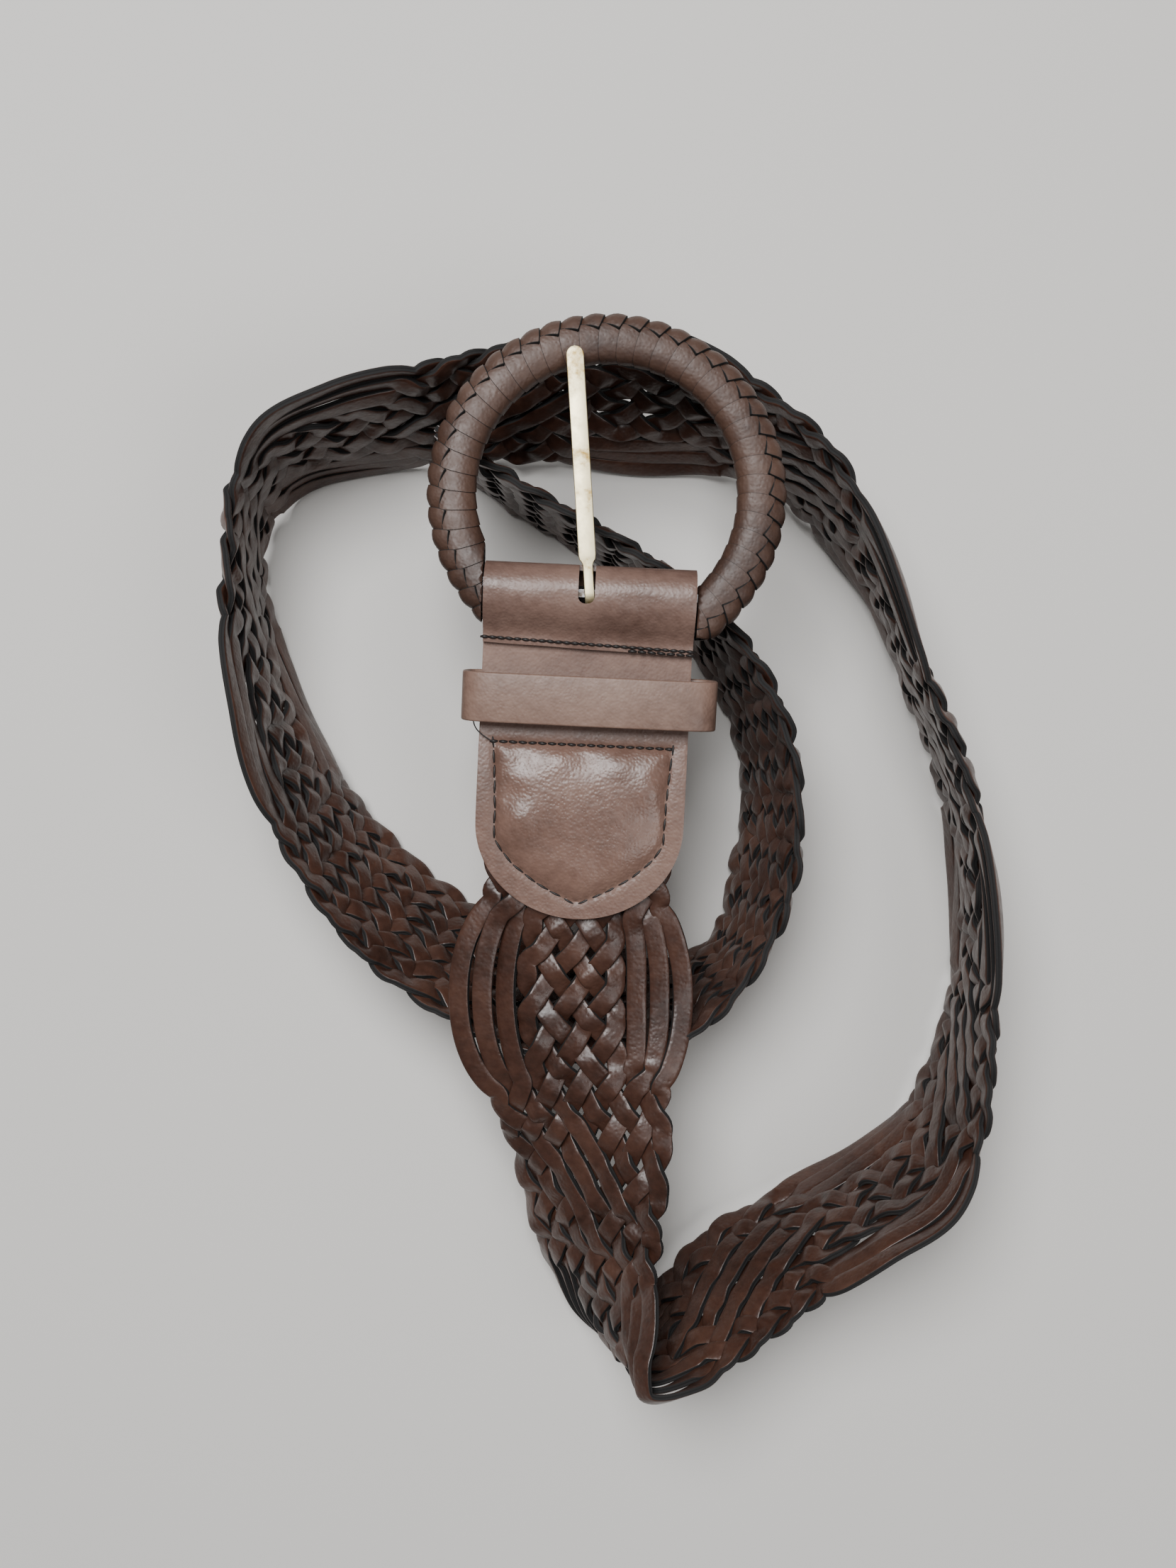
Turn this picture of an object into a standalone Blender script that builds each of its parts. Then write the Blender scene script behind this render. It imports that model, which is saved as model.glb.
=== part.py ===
# Braided belt, unfastened and loosely coiled, its strap standing on edge on the floor.
# The ring buckle and its leather tab lie on top of the coil.
# Metres, +Z up. +Y runs from the tab to the ring. All pieces are built where they rest.

import math

import bmesh
import bpy
import numpy as np
from mathutils import Matrix, Vector

# Sizes
GAP = 0.0003                # clear space kept between pieces
LEATHER = 0.0014            # thickness of the tab and keeper leather

STRAP_WIDTH = 0.046         # braided band, close weave
STRAP_THICK = 0.0036        # two strands deep
SIDE_STRAND_THICK = 0.0022  # the bowed strands lie one deep
LEAF_WIDTH = 0.057          # band where its side strands bow out
LEAF_CORE = 0.027           # braid between the bowed strands
LEAF_GAP = 0.0012           # open slit between bowed strands, at its widest
WEAVE_STEP = 0.006          # length of one crossing along the band
SCALLOP = 0.0012            # how far an edge turn stands out

COIL_WIDTH = 0.200          # X size of the coil
COIL_LENGTH = 0.280         # Y size of the coil

TAB_WIDTH = 0.051
TAB_LENGTH = 0.0795         # from the bar to the rounded end
TAB_ASIDE = -0.00285        # the tab's middle from the ring's middle
TAB_DROP = 0.0100           # the tab slopes down from the ring by this much
TAB_EMBED = 0.0180          # strap end held between the tab's sheets
SEAM_FROM_BAR = 0.0120      # first seam, behind the bar
SHEET_SPARE = 0.0040        # leather past the tab's plan before it is trimmed
SHEET_RAMP_END = 0.0060     # the front sheet is level this far before the strap's end
PANEL_FROM_BAR = 0.0377     # padded panel, its straight top edge behind the bar
PANEL_MARGIN = 0.0045       # flat border round the panel
DOME_HEIGHT = 0.0016        # padded panel above the sheet

RING_RADIUS = 0.037         # to the middle of the wrapped bow
RING_SECTION_WIDE = 0.0127
RING_SECTION_HIGH = 0.0095
WIRE_DIAMETER = 0.004
BAR_OFFSET = 0.0245         # bar below the ring's centre
RING_ABOVE_STRAP = 0.0005
FRAME_CORNER = 0.0022       # bend between the frame's bow and its bar
WRAP_END_LEFT = 0.0050      # how far the plait runs on past the bar, on each side
WRAP_END_RIGHT = 0.0100
PLAIT_TURNS = 42            # turns of the plait along the bow
PLAIT_RELIEF = 0.0005

PRONG_WIDTH = 0.0042
PRONG_NECK = 0.0024         # width where it passes through the slot
PRONG_THICK = 0.0013
PRONG_SWING_OVER = 6.2      # degrees that the prong lies over to -X
PRONG_ASIDE = -0.0030       # its loop sits this far from the bar's middle
PRONG_REACH = 0.0587        # bar to tip
PRONG_LOOP_PLAY = 0.0003

FOLD_INNER_DEPTH = 0.0056   # leather fold, from the bar to its leading edge
FOLD_INNER_RISE = 0.0054    # leather fold, above the bar
SLOT_WIDTH = 0.0042
SLOT_BACK = 0.0025          # the slot ends this far behind the bar's middle

KEEPER_LENGTH = 0.062
KEEPER_WIDTH = 0.012
KEEPER_RISE = 0.0052        # room for the strap between tab and keeper
KEEPER_FROM_BAR = 0.0255    # middle of the keeper, behind the bar
KEEPER_ASIDE = 0.0010       # the keeper's middle from the tab's middle

# Heights follow the standing strap
BAR_X = 0.0012
BAR_Y = 0.0459
TAB_X = BAR_X + TAB_ASIDE
HIGHEST_REST = STRAP_WIDTH * 1.112      # top of the coil under the ring
BAR_Z = HIGHEST_REST + RING_SECTION_HIGH / 2 + RING_ABOVE_STRAP
TAB_TILT = math.asin(TAB_DROP / TAB_LENGTH)

# Way of the strap from the tab to its free end.
# x, y: shares of COIL_WIDTH and COIL_LENGTH. height: of the middle, share of STRAP_WIDTH.
# roll: 90 lies flat with its front up, 0 stands, below 0 leans outwards.
WAY = [
    # x       y       height  roll
    (-0.008, -0.200, 0.930, 90),
    (0.006, -0.271, 0.868, 80),
    (0.020, -0.329, 0.795, 64),
    (0.026, -0.379, 0.725, 52),
    (0.033, -0.421, 0.685, 44),
    (0.046, -0.466, 0.650, 31),
    (0.060, -0.505, 0.632, 20),
    (0.098, -0.536, 0.625, 6),
    (0.150, -0.510, 0.612, -14),
    (0.220, -0.461, 0.590, -25),
    (0.305, -0.418, 0.590, -20),
    (0.380, -0.382, 0.612, -13),
    (0.450, -0.343, 0.610, -14),
    (0.486, -0.296, 0.610, -10),
    (0.511, -0.214, 0.613, -2),
    (0.511, -0.104, 0.614, 3),
    (0.496, -0.029, 0.614, 4),
    (0.466, 0.043, 0.614, 4),
    (0.404, 0.136, 0.614, 4),
    (0.370, 0.193, 0.614, 3),
    (0.331, 0.239, 0.613, -2),
    (0.280, 0.289, 0.612, -8),
    (0.213, 0.324, 0.600, -14),
    (0.135, 0.350, 0.575, -21),
    (0.040, 0.360, 0.545, -30),
    (-0.070, 0.357, 0.545, -29),
    (-0.170, 0.346, 0.560, -22),
    (-0.250, 0.332, 0.592, -17),
    (-0.335, 0.315, 0.612, -11),
    (-0.418, 0.288, 0.612, -6),
    (-0.454, 0.248, 0.614, -1),
    (-0.460, 0.193, 0.614, 1),
    (-0.450, 0.134, 0.613, -4),
    (-0.417, 0.057, 0.611, -9),
    (-0.376, -0.011, 0.595, -17),
    (-0.316, -0.079, 0.530, -23),
    (-0.255, -0.125, 0.465, -29),
    (-0.180, -0.164, 0.442, -31),
    (-0.110, -0.188, 0.436, -33),
    (0.015, -0.206, 0.432, -34),
    (0.135, -0.198, 0.468, -18),
    (0.200, -0.157, 0.490, -10),
    (0.237, -0.075, 0.490, -14),
    (0.242, 0.004, 0.492, -12),
    (0.220, 0.068, 0.494, -11),
    (0.170, 0.129, 0.492, -9),
    (0.100, 0.179, 0.495, -4),
    (0.020, 0.218, 0.496, -2),
    (-0.065, 0.250, 0.496, -1),
    (-0.160, 0.289, 0.496, 0),
    (-0.200, 0.309, 0.496, 0),
]

# Leaves of the braid: where side strands bow out. Steps are counted from the tab's rounded end.
# first: step where it starts. width: share of LEAF_WIDTH.
LEAF_STEPS = 8
LEAVES = [
    # first  width
    (0, 1.06),
    (16, 1.00),
    (30, 1.00),
    (44, 1.00),
    (58, 1.00),
    (72, 0.965),
    (86, 1.00),
    (100, 1.00),
]
FIRST_STEP_AT = -0.003      # start of the first leaf, before the tab's end

# Shape of one leaf from its middle outwards.
LEAF_PROFILE = [
    # steps  bow   slit
    (0, 1.00, 1.00),
    (1, 0.97, 0.97),
    (2, 0.84, 0.82),
    (3, 0.54, 0.46),
    (4, 0.12, 0.00),
]

# Section of the leather fold behind the bar.
# along: share of SEAM_FROM_BAR. rise: 0 level with the sheet, 1 at the fold's full height.
FOLD_TOP = [
    # along  rise
    (1.13, 0.00),
    (0.82, 0.00),
    (0.50, 0.60),
    (0.22, 0.97),
]
FOLD_UNDER = [
    # along  rise
    (0.45, 0.85),
    (0.90, 0.06),
    (1.30, 0.00),
]

# Places across the front sheet, as shares of its half width, close where the panel ends.
PANEL_PLACES = (-1, -0.8, -0.72, -0.55, -0.3, 0, 0.3, 0.55, 0.72, 0.8, 1)


# Collections and materials
def new_collection(name):
    group = bpy.data.collections.new(name)
    bpy.context.scene.collection.children.link(group)
    return group


def new_material(name, colour, roughness, metallic=0.0):
    mat = bpy.data.materials.new(name)
    mat.use_nodes = True
    shader = mat.node_tree.nodes["Principled BSDF"]
    shader.inputs["Base Color"].default_value = (*colour, 1.0)
    shader.inputs["Roughness"].default_value = roughness
    shader.inputs["Metallic"].default_value = metallic
    mat.diffuse_color = (*colour, 1.0)
    return mat


def add_object(name, mesh, group, mat=None):
    obj = bpy.data.objects.new(name, mesh)
    group.objects.link(obj)
    if mat is not None:
        mesh.materials.append(mat)
    return obj


def add_cutter(name, mesh):
    obj = add_object(name, mesh, CUTTERS)
    obj.hide_render = True
    obj.display_type = "WIRE"
    return obj


def cut(obj, cutter, operation="DIFFERENCE"):
    mod = obj.modifiers.new(cutter.name, "BOOLEAN")
    mod.operation = operation
    mod.solver = "EXACT"
    mod.object = cutter


def solidify(obj, thickness):
    mod = obj.modifiers.new("leather", "SOLIDIFY")
    mod.thickness = thickness
    mod.offset = 0.0
    return mod


def mesh_from_bmesh(name, bm):
    bmesh.ops.recalc_face_normals(bm, faces=bm.faces)
    mesh = bpy.data.meshes.new(name)
    bm.to_mesh(mesh)
    bm.free()
    return mesh


# Shapes used by several pieces
def sheet_mesh(name, rows):
    """Open surface through rows of points, every row with the same count."""
    bm = bmesh.new()
    grid = [[bm.verts.new(p) for p in row] for row in rows]
    for one, two in zip(grid, grid[1:]):
        for i in range(len(one) - 1):
            bm.faces.new((one[i], one[i + 1], two[i + 1], two[i]))
    return mesh_from_bmesh(name, bm)


def prism_mesh(name, outline, low, high):
    """Upright solid with a plan outline, from one height to another."""
    bm = bmesh.new()
    floor = bm.faces.new([bm.verts.new((x, y, low)) for x, y in outline])
    lifted = bmesh.ops.extrude_face_region(bm, geom=[floor])
    top = [v for v in lifted["geom"] if isinstance(v, bmesh.types.BMVert)]
    bmesh.ops.translate(bm, verts=top, vec=(0, 0, high - low))
    return mesh_from_bmesh(name, bm)


def loft_mesh(name, rings):
    """Closed solid through closed rings of points, flat at both ends."""
    bm = bmesh.new()
    loops = [[bm.verts.new(p) for p in ring] for ring in rings]
    count = len(loops[0])
    for one, two in zip(loops, loops[1:]):
        for i in range(count):
            j = (i + 1) % count
            bm.faces.new((one[i], one[j], two[j], two[i]))
    bm.faces.new(loops[0])
    bm.faces.new(loops[-1])
    return mesh_from_bmesh(name, bm)


def tube_mesh(name, points, radius, sides=8):
    """Round wire bent along a closed line of points."""
    line = bpy.data.curves.new(name, "CURVE")
    line.dimensions = "3D"
    line.twist_mode = "Z_UP"
    line.bevel_depth = radius
    line.bevel_resolution = sides // 4 - 1 if sides > 4 else 0
    spline = line.splines.new("POLY")
    spline.points.add(len(points) - 1)
    for p, at in zip(spline.points, points):
        p.co = (*at, 1.0)
    spline.use_cyclic_u = True
    holder = bpy.data.objects.new(name, line)
    bpy.context.scene.collection.objects.link(holder)
    bpy.context.view_layer.update()
    graph = bpy.context.evaluated_depsgraph_get()
    mesh = bpy.data.meshes.new_from_object(holder.evaluated_get(graph))
    mesh.transform(holder.matrix_world)
    bpy.data.objects.remove(holder)
    bpy.data.curves.remove(line)
    bm = bmesh.new()
    bm.from_mesh(mesh)
    bmesh.ops.remove_doubles(bm, verts=bm.verts, dist=0.00001)
    bpy.data.meshes.remove(mesh)
    return mesh_from_bmesh(name, bm)


# Strap
def tab_point(along, normal, across=0.0):
    """A point of the tab: along it from the bar, above its middle plane, and across."""
    c = math.cos(TAB_TILT)
    s = math.sin(TAB_TILT)
    y = BAR_Y - along * c - normal * s
    z = BAR_Z - along * s + normal * c
    return (TAB_X + across, y, z)


def way_rows():
    """Rows (x, y, z, roll) of the strap's middle, starting between the tab's sheets."""
    rows = []
    for along in (TAB_LENGTH - TAB_EMBED, TAB_LENGTH):
        rows.append((*tab_point(along, 0.0), 90.0))
    for x, y, height, roll in WAY:
        rows.append((x * COIL_WIDTH, y * COIL_LENGTH, height * STRAP_WIDTH, roll))
    return np.array(rows)


def smooth_way(rows, per_row=24):
    """Rows joined by a smooth line, and the distance along it at every point."""
    steps = np.linalg.norm(np.diff(rows[:, :3], axis=0), axis=1)
    knots = np.concatenate([[0.0], np.cumsum(steps)])
    slopes = np.zeros_like(rows)
    slopes[0] = (rows[1] - rows[0]) / steps[0]
    slopes[-1] = (rows[-1] - rows[-2]) / steps[-1]
    for i in range(1, len(rows) - 1):
        before = (rows[i] - rows[i - 1]) / steps[i - 1]
        after = (rows[i + 1] - rows[i]) / steps[i]
        slopes[i] = (before * steps[i] + after * steps[i - 1]) / (steps[i - 1] + steps[i])
    line = []
    for i, length in enumerate(steps):
        for t in np.linspace(0.0, 1.0, per_row, endpoint=False):
            a = 2 * t ** 3 - 3 * t ** 2 + 1
            b = (t ** 3 - 2 * t ** 2 + t) * length
            c = -2 * t ** 3 + 3 * t ** 2
            d = (t ** 3 - t ** 2) * length
            line.append(a * rows[i] + b * slopes[i] + c * rows[i + 1] + d * slopes[i + 1])
    line.append(rows[-1])
    line = np.array(line)
    run = np.concatenate([[0.0], np.cumsum(np.linalg.norm(np.diff(line[:, :3], axis=0), axis=1))])
    return line, run - run[per_row]


def frame_at(line, run, distance):
    """Middle point, face normal and up-edge direction of the strap at a distance."""
    near = WEAVE_STEP / 3
    here = np.array([np.interp(distance, run, line[:, i]) for i in range(4)])
    ahead = np.array([np.interp(distance + near, run, line[:, i]) for i in range(3)])
    behind = np.array([np.interp(distance - near, run, line[:, i]) for i in range(3)])
    along = (ahead - behind) / np.linalg.norm(ahead - behind)
    outward = np.cross(along, (0.0, 0.0, 1.0))
    outward /= np.linalg.norm(outward)
    upward = np.cross(outward, along)
    roll = math.radians(here[3])
    normal = math.cos(roll) * outward + math.sin(roll) * upward
    edge = math.cos(roll) * upward - math.sin(roll) * outward
    return here[:3], normal, edge


def strap_shape(step):
    """Half width, half core, slit, and whether the step lies in a leaf or its close weave."""
    scallop = SCALLOP / 2 if step % 2 == 0 else -SCALLOP / 2
    half = STRAP_WIDTH / 2 + scallop
    core = STRAP_WIDTH / 4
    last = LEAVES[-1][0] + LEAF_STEPS
    for first, width in LEAVES:
        away = abs(step - first - LEAF_STEPS // 2)
        if away <= LEAF_STEPS // 2:
            bow = LEAF_PROFILE[away][1]
            slit = LEAF_PROFILE[away][2] * LEAF_GAP
            half = (1 - bow) * STRAP_WIDTH / 2 + bow * LEAF_WIDTH * width / 2
            core = (1 - bow) * STRAP_WIDTH / 4 + bow * LEAF_CORE / 2
            return half, core, slit, True
    return half, core, 0.0, step <= last


def strap_mesh():
    """The band as an open surface. Strips between slits are the bowed strands and the core."""
    line, run = smooth_way(way_rows())
    first = math.ceil((run[0] - FIRST_STEP_AT) / WEAVE_STEP)
    last = math.floor((run[-1] - FIRST_STEP_AT) / WEAVE_STEP)
    bm = bmesh.new()
    weight = bm.verts.layers.deform.verify()
    stations = []
    for step in range(first, last + 1):
        at = FIRST_STEP_AT + step * WEAVE_STEP
        middle, normal, edge = frame_at(line, run, at)
        half, core, slit, leafy = strap_shape(step)
        strand = (half - core - 3 * slit) / 3
        side = [half]
        for _ in range(3):
            side.append(side[-1] - strand)
            side.append(side[-1] - slit)
        if not leafy:
            side = [half] + [0.0] * 6
        places = side + [-v for v in reversed(side)]
        thin = SIDE_STRAND_THICK / STRAP_THICK if slit > 0 else 1.0
        row = []
        for i, v in enumerate(places):
            vert = bm.verts.new(middle + edge * v)
            inner = 6 <= i <= 7
            vert[weight][0] = 1.0 if inner else thin
            row.append(vert)
        stations.append(row)
    for one, two in zip(stations, stations[1:]):
        for i in range(0, len(one), 2):
            bm.faces.new((one[i], one[i + 1], two[i + 1], two[i]))
    bmesh.ops.remove_doubles(bm, verts=bm.verts, dist=0.00002)
    return mesh_from_bmesh("strap", bm)


def build_strap():
    obj = add_object("strap", strap_mesh(), PARTS, BRAID_LEATHER)
    obj.vertex_groups.new(name="thickness")
    mod = solidify(obj, STRAP_THICK)
    mod.vertex_group = "thickness"
    mod.thickness_vertex_group = 0.0
    below = prism_mesh("below_floor", [
        (-COIL_WIDTH, -COIL_LENGTH),
        (COIL_WIDTH, -COIL_LENGTH),
        (COIL_WIDTH, COIL_LENGTH),
        (-COIL_WIDTH, COIL_LENGTH),
    ], -STRAP_WIDTH / 2, 0.0)
    cut(obj, add_cutter("below_floor", below))
    return obj


# Tab
def tab_outline():
    """Plan of the tab: straight sides from beyond the fold, and a rounded end."""
    half = TAB_WIDTH / 2
    side = TAB_LENGTH - half * 0.92
    ahead = BAR_Y + FOLD_INNER_DEPTH * 4
    points = [(TAB_X + half, ahead), (TAB_X - half, ahead)]
    count = 14
    for i in range(count + 1):
        turn = math.pi * i / count
        x = -math.cos(turn) * half
        along = side + math.sin(turn) * (TAB_LENGTH - side)
        points.append((TAB_X + x, BAR_Y - along * math.cos(TAB_TILT)))
    return points


def tab_plan(name):
    """Cutter that trims a sheet to the tab's plan."""
    return add_cutter(name, prism_mesh(name, tab_outline(), 0.0, BAR_Z * 2))


def build_tab_back():
    """Back sheet, folded over the bar and ending at the first seam on the front."""
    level = -STRAP_THICK / 2 - GAP - LEATHER / 2
    deep = FOLD_INNER_DEPTH + LEATHER / 2
    rise = FOLD_INNER_RISE + LEATHER / 2
    front = level + 2 * (LEATHER + GAP)
    section = []
    for along, share in FOLD_TOP:
        section.append((SEAM_FROM_BAR * along, front + (rise - front) * share))
    for i in range(9):
        turn = math.radians(90 - i * 22.5)
        section.append((-math.cos(turn) * deep, math.sin(turn) * rise))
    for along, share in FOLD_UNDER:
        section.append((SEAM_FROM_BAR * along, level - (rise + level) * share))
    section.append((TAB_LENGTH * 0.6, level))
    section.append((TAB_LENGTH + SHEET_SPARE, level))
    half = TAB_WIDTH / 2 + SHEET_SPARE
    rows = [[tab_point(t, n, x) for x in (-half, half)] for t, n in section]
    obj = add_object("tab_back", sheet_mesh("tab_back", rows), PARTS, TAB_LEATHER)
    solidify(obj, LEATHER)
    cut(obj, tab_plan("tab_back_plan"), "INTERSECT")
    middle = PRONG_ASIDE - math.sin(math.radians(PRONG_SWING_OVER)) * FOLD_INNER_DEPTH
    slot = prism_mesh("prong_slot", [
        (middle - SLOT_WIDTH / 2, -SLOT_BACK),
        (middle + SLOT_WIDTH / 2, -SLOT_BACK),
        (middle + SLOT_WIDTH / 2, FOLD_INNER_DEPTH * 2),
        (middle - SLOT_WIDTH / 2, FOLD_INNER_DEPTH * 2),
    ], GAP * 2, FOLD_INNER_RISE * 3)
    slot.transform(Matrix.Translation((BAR_X, BAR_Y, BAR_Z)))
    cut(obj, add_cutter("prong_slot", slot))
    return obj


def panel_height(along, across):
    """Middle of the front sheet above the tab's middle plane."""
    low = -STRAP_THICK / 2 + LEATHER / 2
    high = STRAP_THICK / 2 + GAP + LEATHER / 2
    ramp_end = TAB_LENGTH - TAB_EMBED - SHEET_RAMP_END
    t = (along - SEAM_FROM_BAR) / (ramp_end - SEAM_FROM_BAR)
    t = min(max(t, 0.0), 1.0)
    level = low + (high - low) * t * t * (3 - 2 * t)
    inside = (along - PANEL_FROM_BAR) / (TAB_LENGTH - PANEL_MARGIN - PANEL_FROM_BAR)
    width = 1 - (abs(across) / (TAB_WIDTH / 2 - PANEL_MARGIN)) ** 4
    if inside <= 0.0 or inside >= 1.0 or width <= 0.0:
        return level
    return level + DOME_HEIGHT * math.sqrt(math.sin(math.pi * inside)) * math.sqrt(width)


def build_tab_front():
    """Front sheet with its padded panel, from under the first seam to the rounded end."""
    half = TAB_WIDTH / 2 + SHEET_SPARE
    start = SEAM_FROM_BAR * 0.7
    count = 14
    rows = []
    for i in range(count + 1):
        along = start + (TAB_LENGTH + SHEET_SPARE - start) * i / count
        row = []
        for share in PANEL_PLACES:
            across = share * half
            row.append(tab_point(along, panel_height(along, across), across))
        rows.append(row)
    obj = add_object("tab_front", sheet_mesh("tab_front", rows), PARTS, TAB_LEATHER_FRONT)
    solidify(obj, LEATHER)
    cut(obj, tab_plan("tab_front_plan"), "INTERSECT")
    return obj


def build_keeper():
    """Plain leather loop standing round both sheets, with room for the strap above them."""
    low = -STRAP_THICK / 2 - GAP - LEATHER - GAP - LEATHER / 2
    top = panel_height(KEEPER_FROM_BAR + KEEPER_WIDTH / 2, 0.0) + LEATHER / 2
    high = top + KEEPER_RISE + LEATHER / 2
    half = KEEPER_LENGTH / 2 - LEATHER / 2
    round_by = (high - low) * 0.42
    section = []
    corners = [(half - round_by, high - round_by, 90), (half - round_by, low + round_by, 0),
               (-half + round_by, low + round_by, -90), (-half + round_by, high - round_by, -180)]
    for x, n, start in corners:
        for i in range(5):
            turn = math.radians(start - i * 22.5)
            section.append((x + math.cos(turn) * round_by, n + math.sin(turn) * round_by))
    bm = bmesh.new()
    loops = []
    for share in (-0.5, 0.5):
        along = KEEPER_FROM_BAR + share * KEEPER_WIDTH
        loops.append([bm.verts.new(tab_point(along, n, x + KEEPER_ASIDE)) for x, n in section])
    for i in range(len(section)):
        j = (i + 1) % len(section)
        bm.faces.new((loops[0][i], loops[0][j], loops[1][j], loops[1][i]))
    obj = add_object("keeper", mesh_from_bmesh("keeper", bm), PARTS, KEEPER_LEATHER)
    mod = solidify(obj, LEATHER)
    mod.use_even_offset = True
    return obj


# Ring
def bow_line():
    """Closed line of the frame: round bow and straight bar with rounded corners."""
    chord = math.sqrt(RING_RADIUS ** 2 - BAR_OFFSET ** 2)
    start = math.atan2(-BAR_OFFSET, chord) + FRAME_CORNER * 1.25 / RING_RADIUS
    end = math.pi - start
    points = []
    count = 40
    for i in range(count + 1):
        turn = start + (end - start) * i / count
        points.append((RING_RADIUS * math.cos(turn), RING_RADIUS * math.sin(turn) + BAR_OFFSET))
    near = FRAME_CORNER * 0.2
    left = [(-chord + near, FRAME_CORNER * 0.55), (-chord + FRAME_CORNER, 0.0)]
    right = [(chord - FRAME_CORNER, 0.0), (chord - near, FRAME_CORNER * 0.55)]
    points += left + right
    return [(x, y, 0.0) for x, y in points]


def build_frame():
    mesh = tube_mesh("buckle_frame", bow_line(), WIRE_DIAMETER / 2)
    obj = add_object("buckle_frame", mesh, PARTS, STEEL)
    obj.location = (BAR_X, BAR_Y, BAR_Z)
    return obj


def build_wrap():
    """Plaited lacing on the bow, cut square beside the leather fold, hollow for the wire."""
    reach = math.asin(BAR_OFFSET / RING_RADIUS) * 1.5
    count = PLAIT_TURNS * 2
    start = -reach
    end = math.pi + reach
    rings = []
    for i in range(count + 1):
        turn = start + (end - start) * i / count
        swell = PLAIT_RELIEF if i % 2 == 0 else -PLAIT_RELIEF
        ring = []
        for k in range(12):
            angle = math.radians(15 + k * 30)
            wide = math.copysign(abs(math.cos(angle)) ** 0.85, math.cos(angle))
            high = math.copysign(abs(math.sin(angle)) ** 0.85, math.sin(angle))
            out = RING_SECTION_WIDE / 2 * wide
            if wide > 0:
                out += swell
            r = RING_RADIUS + out
            z = high * RING_SECTION_HIGH / 2
            ring.append((r * math.cos(turn), r * math.sin(turn) + BAR_OFFSET, z))
        rings.append(ring)
    obj = add_object("ring_wrap", loft_mesh("ring_wrap", rings), PARTS, LACING)
    obj.location = (BAR_X, BAR_Y, BAR_Z)
    left = TAB_ASIDE - TAB_WIDTH / 2 - GAP * 2
    right = TAB_ASIDE + TAB_WIDTH / 2 + GAP * 2
    wide = RING_RADIUS + RING_SECTION_WIDE
    ends = add_cutter("wrap_ends", prism_mesh("wrap_ends", [
        (-wide, -wide),
        (wide, -wide),
        (wide, -WRAP_END_RIGHT),
        (right, -WRAP_END_RIGHT),
        (right, BAR_OFFSET * 0.6),
        (left, BAR_OFFSET * 0.6),
        (left, -WRAP_END_LEFT),
        (-wide, -WRAP_END_LEFT),
    ], -RING_SECTION_HIGH, RING_SECTION_HIGH))
    ends.location = obj.location
    cut(obj, ends)
    bore = add_cutter("wire_bore", tube_mesh("wire_bore", bow_line(), WIRE_DIAMETER / 2 + GAP))
    bore.location = obj.location
    cut(obj, bore)
    return obj


# Prong
def build_prong():
    """Flat bar with a loop round the frame's bar, resting on the ring's top."""
    inner = WIRE_DIAMETER / 2 + PRONG_LOOP_PLAY
    middle = inner + PRONG_THICK / 2
    rise = RING_SECTION_HIGH / 2 + GAP + PRONG_THICK / 2 - middle
    section = []
    for i in range(15):
        turn = math.radians(-20 - i * 250 / 14)
        section.append((math.cos(turn) * middle, math.sin(turn) * middle))
    section.append((PRONG_REACH * 0.5, middle + rise * 0.5))
    section.append((PRONG_REACH, middle + rise))
    rows = [[(x, y, z) for x in (-PRONG_WIDTH, PRONG_WIDTH)] for y, z in section]
    obj = add_object("prong", sheet_mesh("prong", rows), PARTS, PALE_METAL)
    solidify(obj, PRONG_THICK)
    wide = PRONG_WIDTH / 2
    neck = PRONG_NECK / 2
    shoulder = FOLD_INNER_DEPTH + LEATHER + GAP * 3
    outline = [(-neck, -middle * 2), (neck, -middle * 2), (neck, shoulder - PRONG_NECK * 1.4),
               (wide, shoulder)]
    tip = PRONG_REACH - wide
    for i in range(9):
        turn = math.pi * i / 8
        outline.append((wide * math.cos(turn), tip + wide * math.sin(turn)))
    outline += [(-wide, shoulder), (-neck, shoulder - PRONG_NECK * 1.4)]
    deep = RING_SECTION_HIGH * 2
    plan = add_cutter("prong_plan", prism_mesh("prong_plan", outline, -deep, deep))
    for piece in (obj, plan):
        piece.location = (BAR_X + PRONG_ASIDE, BAR_Y, BAR_Z)
        piece.rotation_euler = (0.0, 0.0, math.radians(PRONG_SWING_OVER))
    cut(obj, plan, "INTERSECT")
    return obj


def centre_on_floor(pieces, others):
    """Move everything so that the middle of the whole stands over the origin."""
    bpy.context.view_layer.update()
    graph = bpy.context.evaluated_depsgraph_get()
    corners = []
    for obj in pieces:
        done = obj.evaluated_get(graph)
        corners += [done.matrix_world @ Vector(c) for c in done.bound_box]
    shift = Vector((-(min(c.x for c in corners) + max(c.x for c in corners)) / 2,
                    -(min(c.y for c in corners) + max(c.y for c in corners)) / 2, 0.0))
    for obj in pieces + others:
        obj.location = obj.location + shift
    print("moved by", [round(v * 1000, 3) for v in shift], "mm")


for old in list(bpy.data.objects):
    bpy.data.objects.remove(old)

PARTS = new_collection("braided_belt")
CUTTERS = new_collection("cutters")

BRAID_LEATHER = new_material("braid_leather", (0.085, 0.045, 0.032), 0.5)
TAB_LEATHER = new_material("tab_leather", (0.13, 0.07, 0.052), 0.45)
TAB_LEATHER_FRONT = new_material("tab_front_leather", (0.14, 0.075, 0.056), 0.4)
KEEPER_LEATHER = new_material("keeper_leather", (0.14, 0.078, 0.058), 0.45)
LACING = new_material("ring_lacing", (0.11, 0.06, 0.045), 0.45)
STEEL = new_material("frame_steel", (0.5, 0.5, 0.5), 0.35, 1.0)
PALE_METAL = new_material("pale_metal", (0.72, 0.66, 0.52), 0.35, 1.0)

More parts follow.
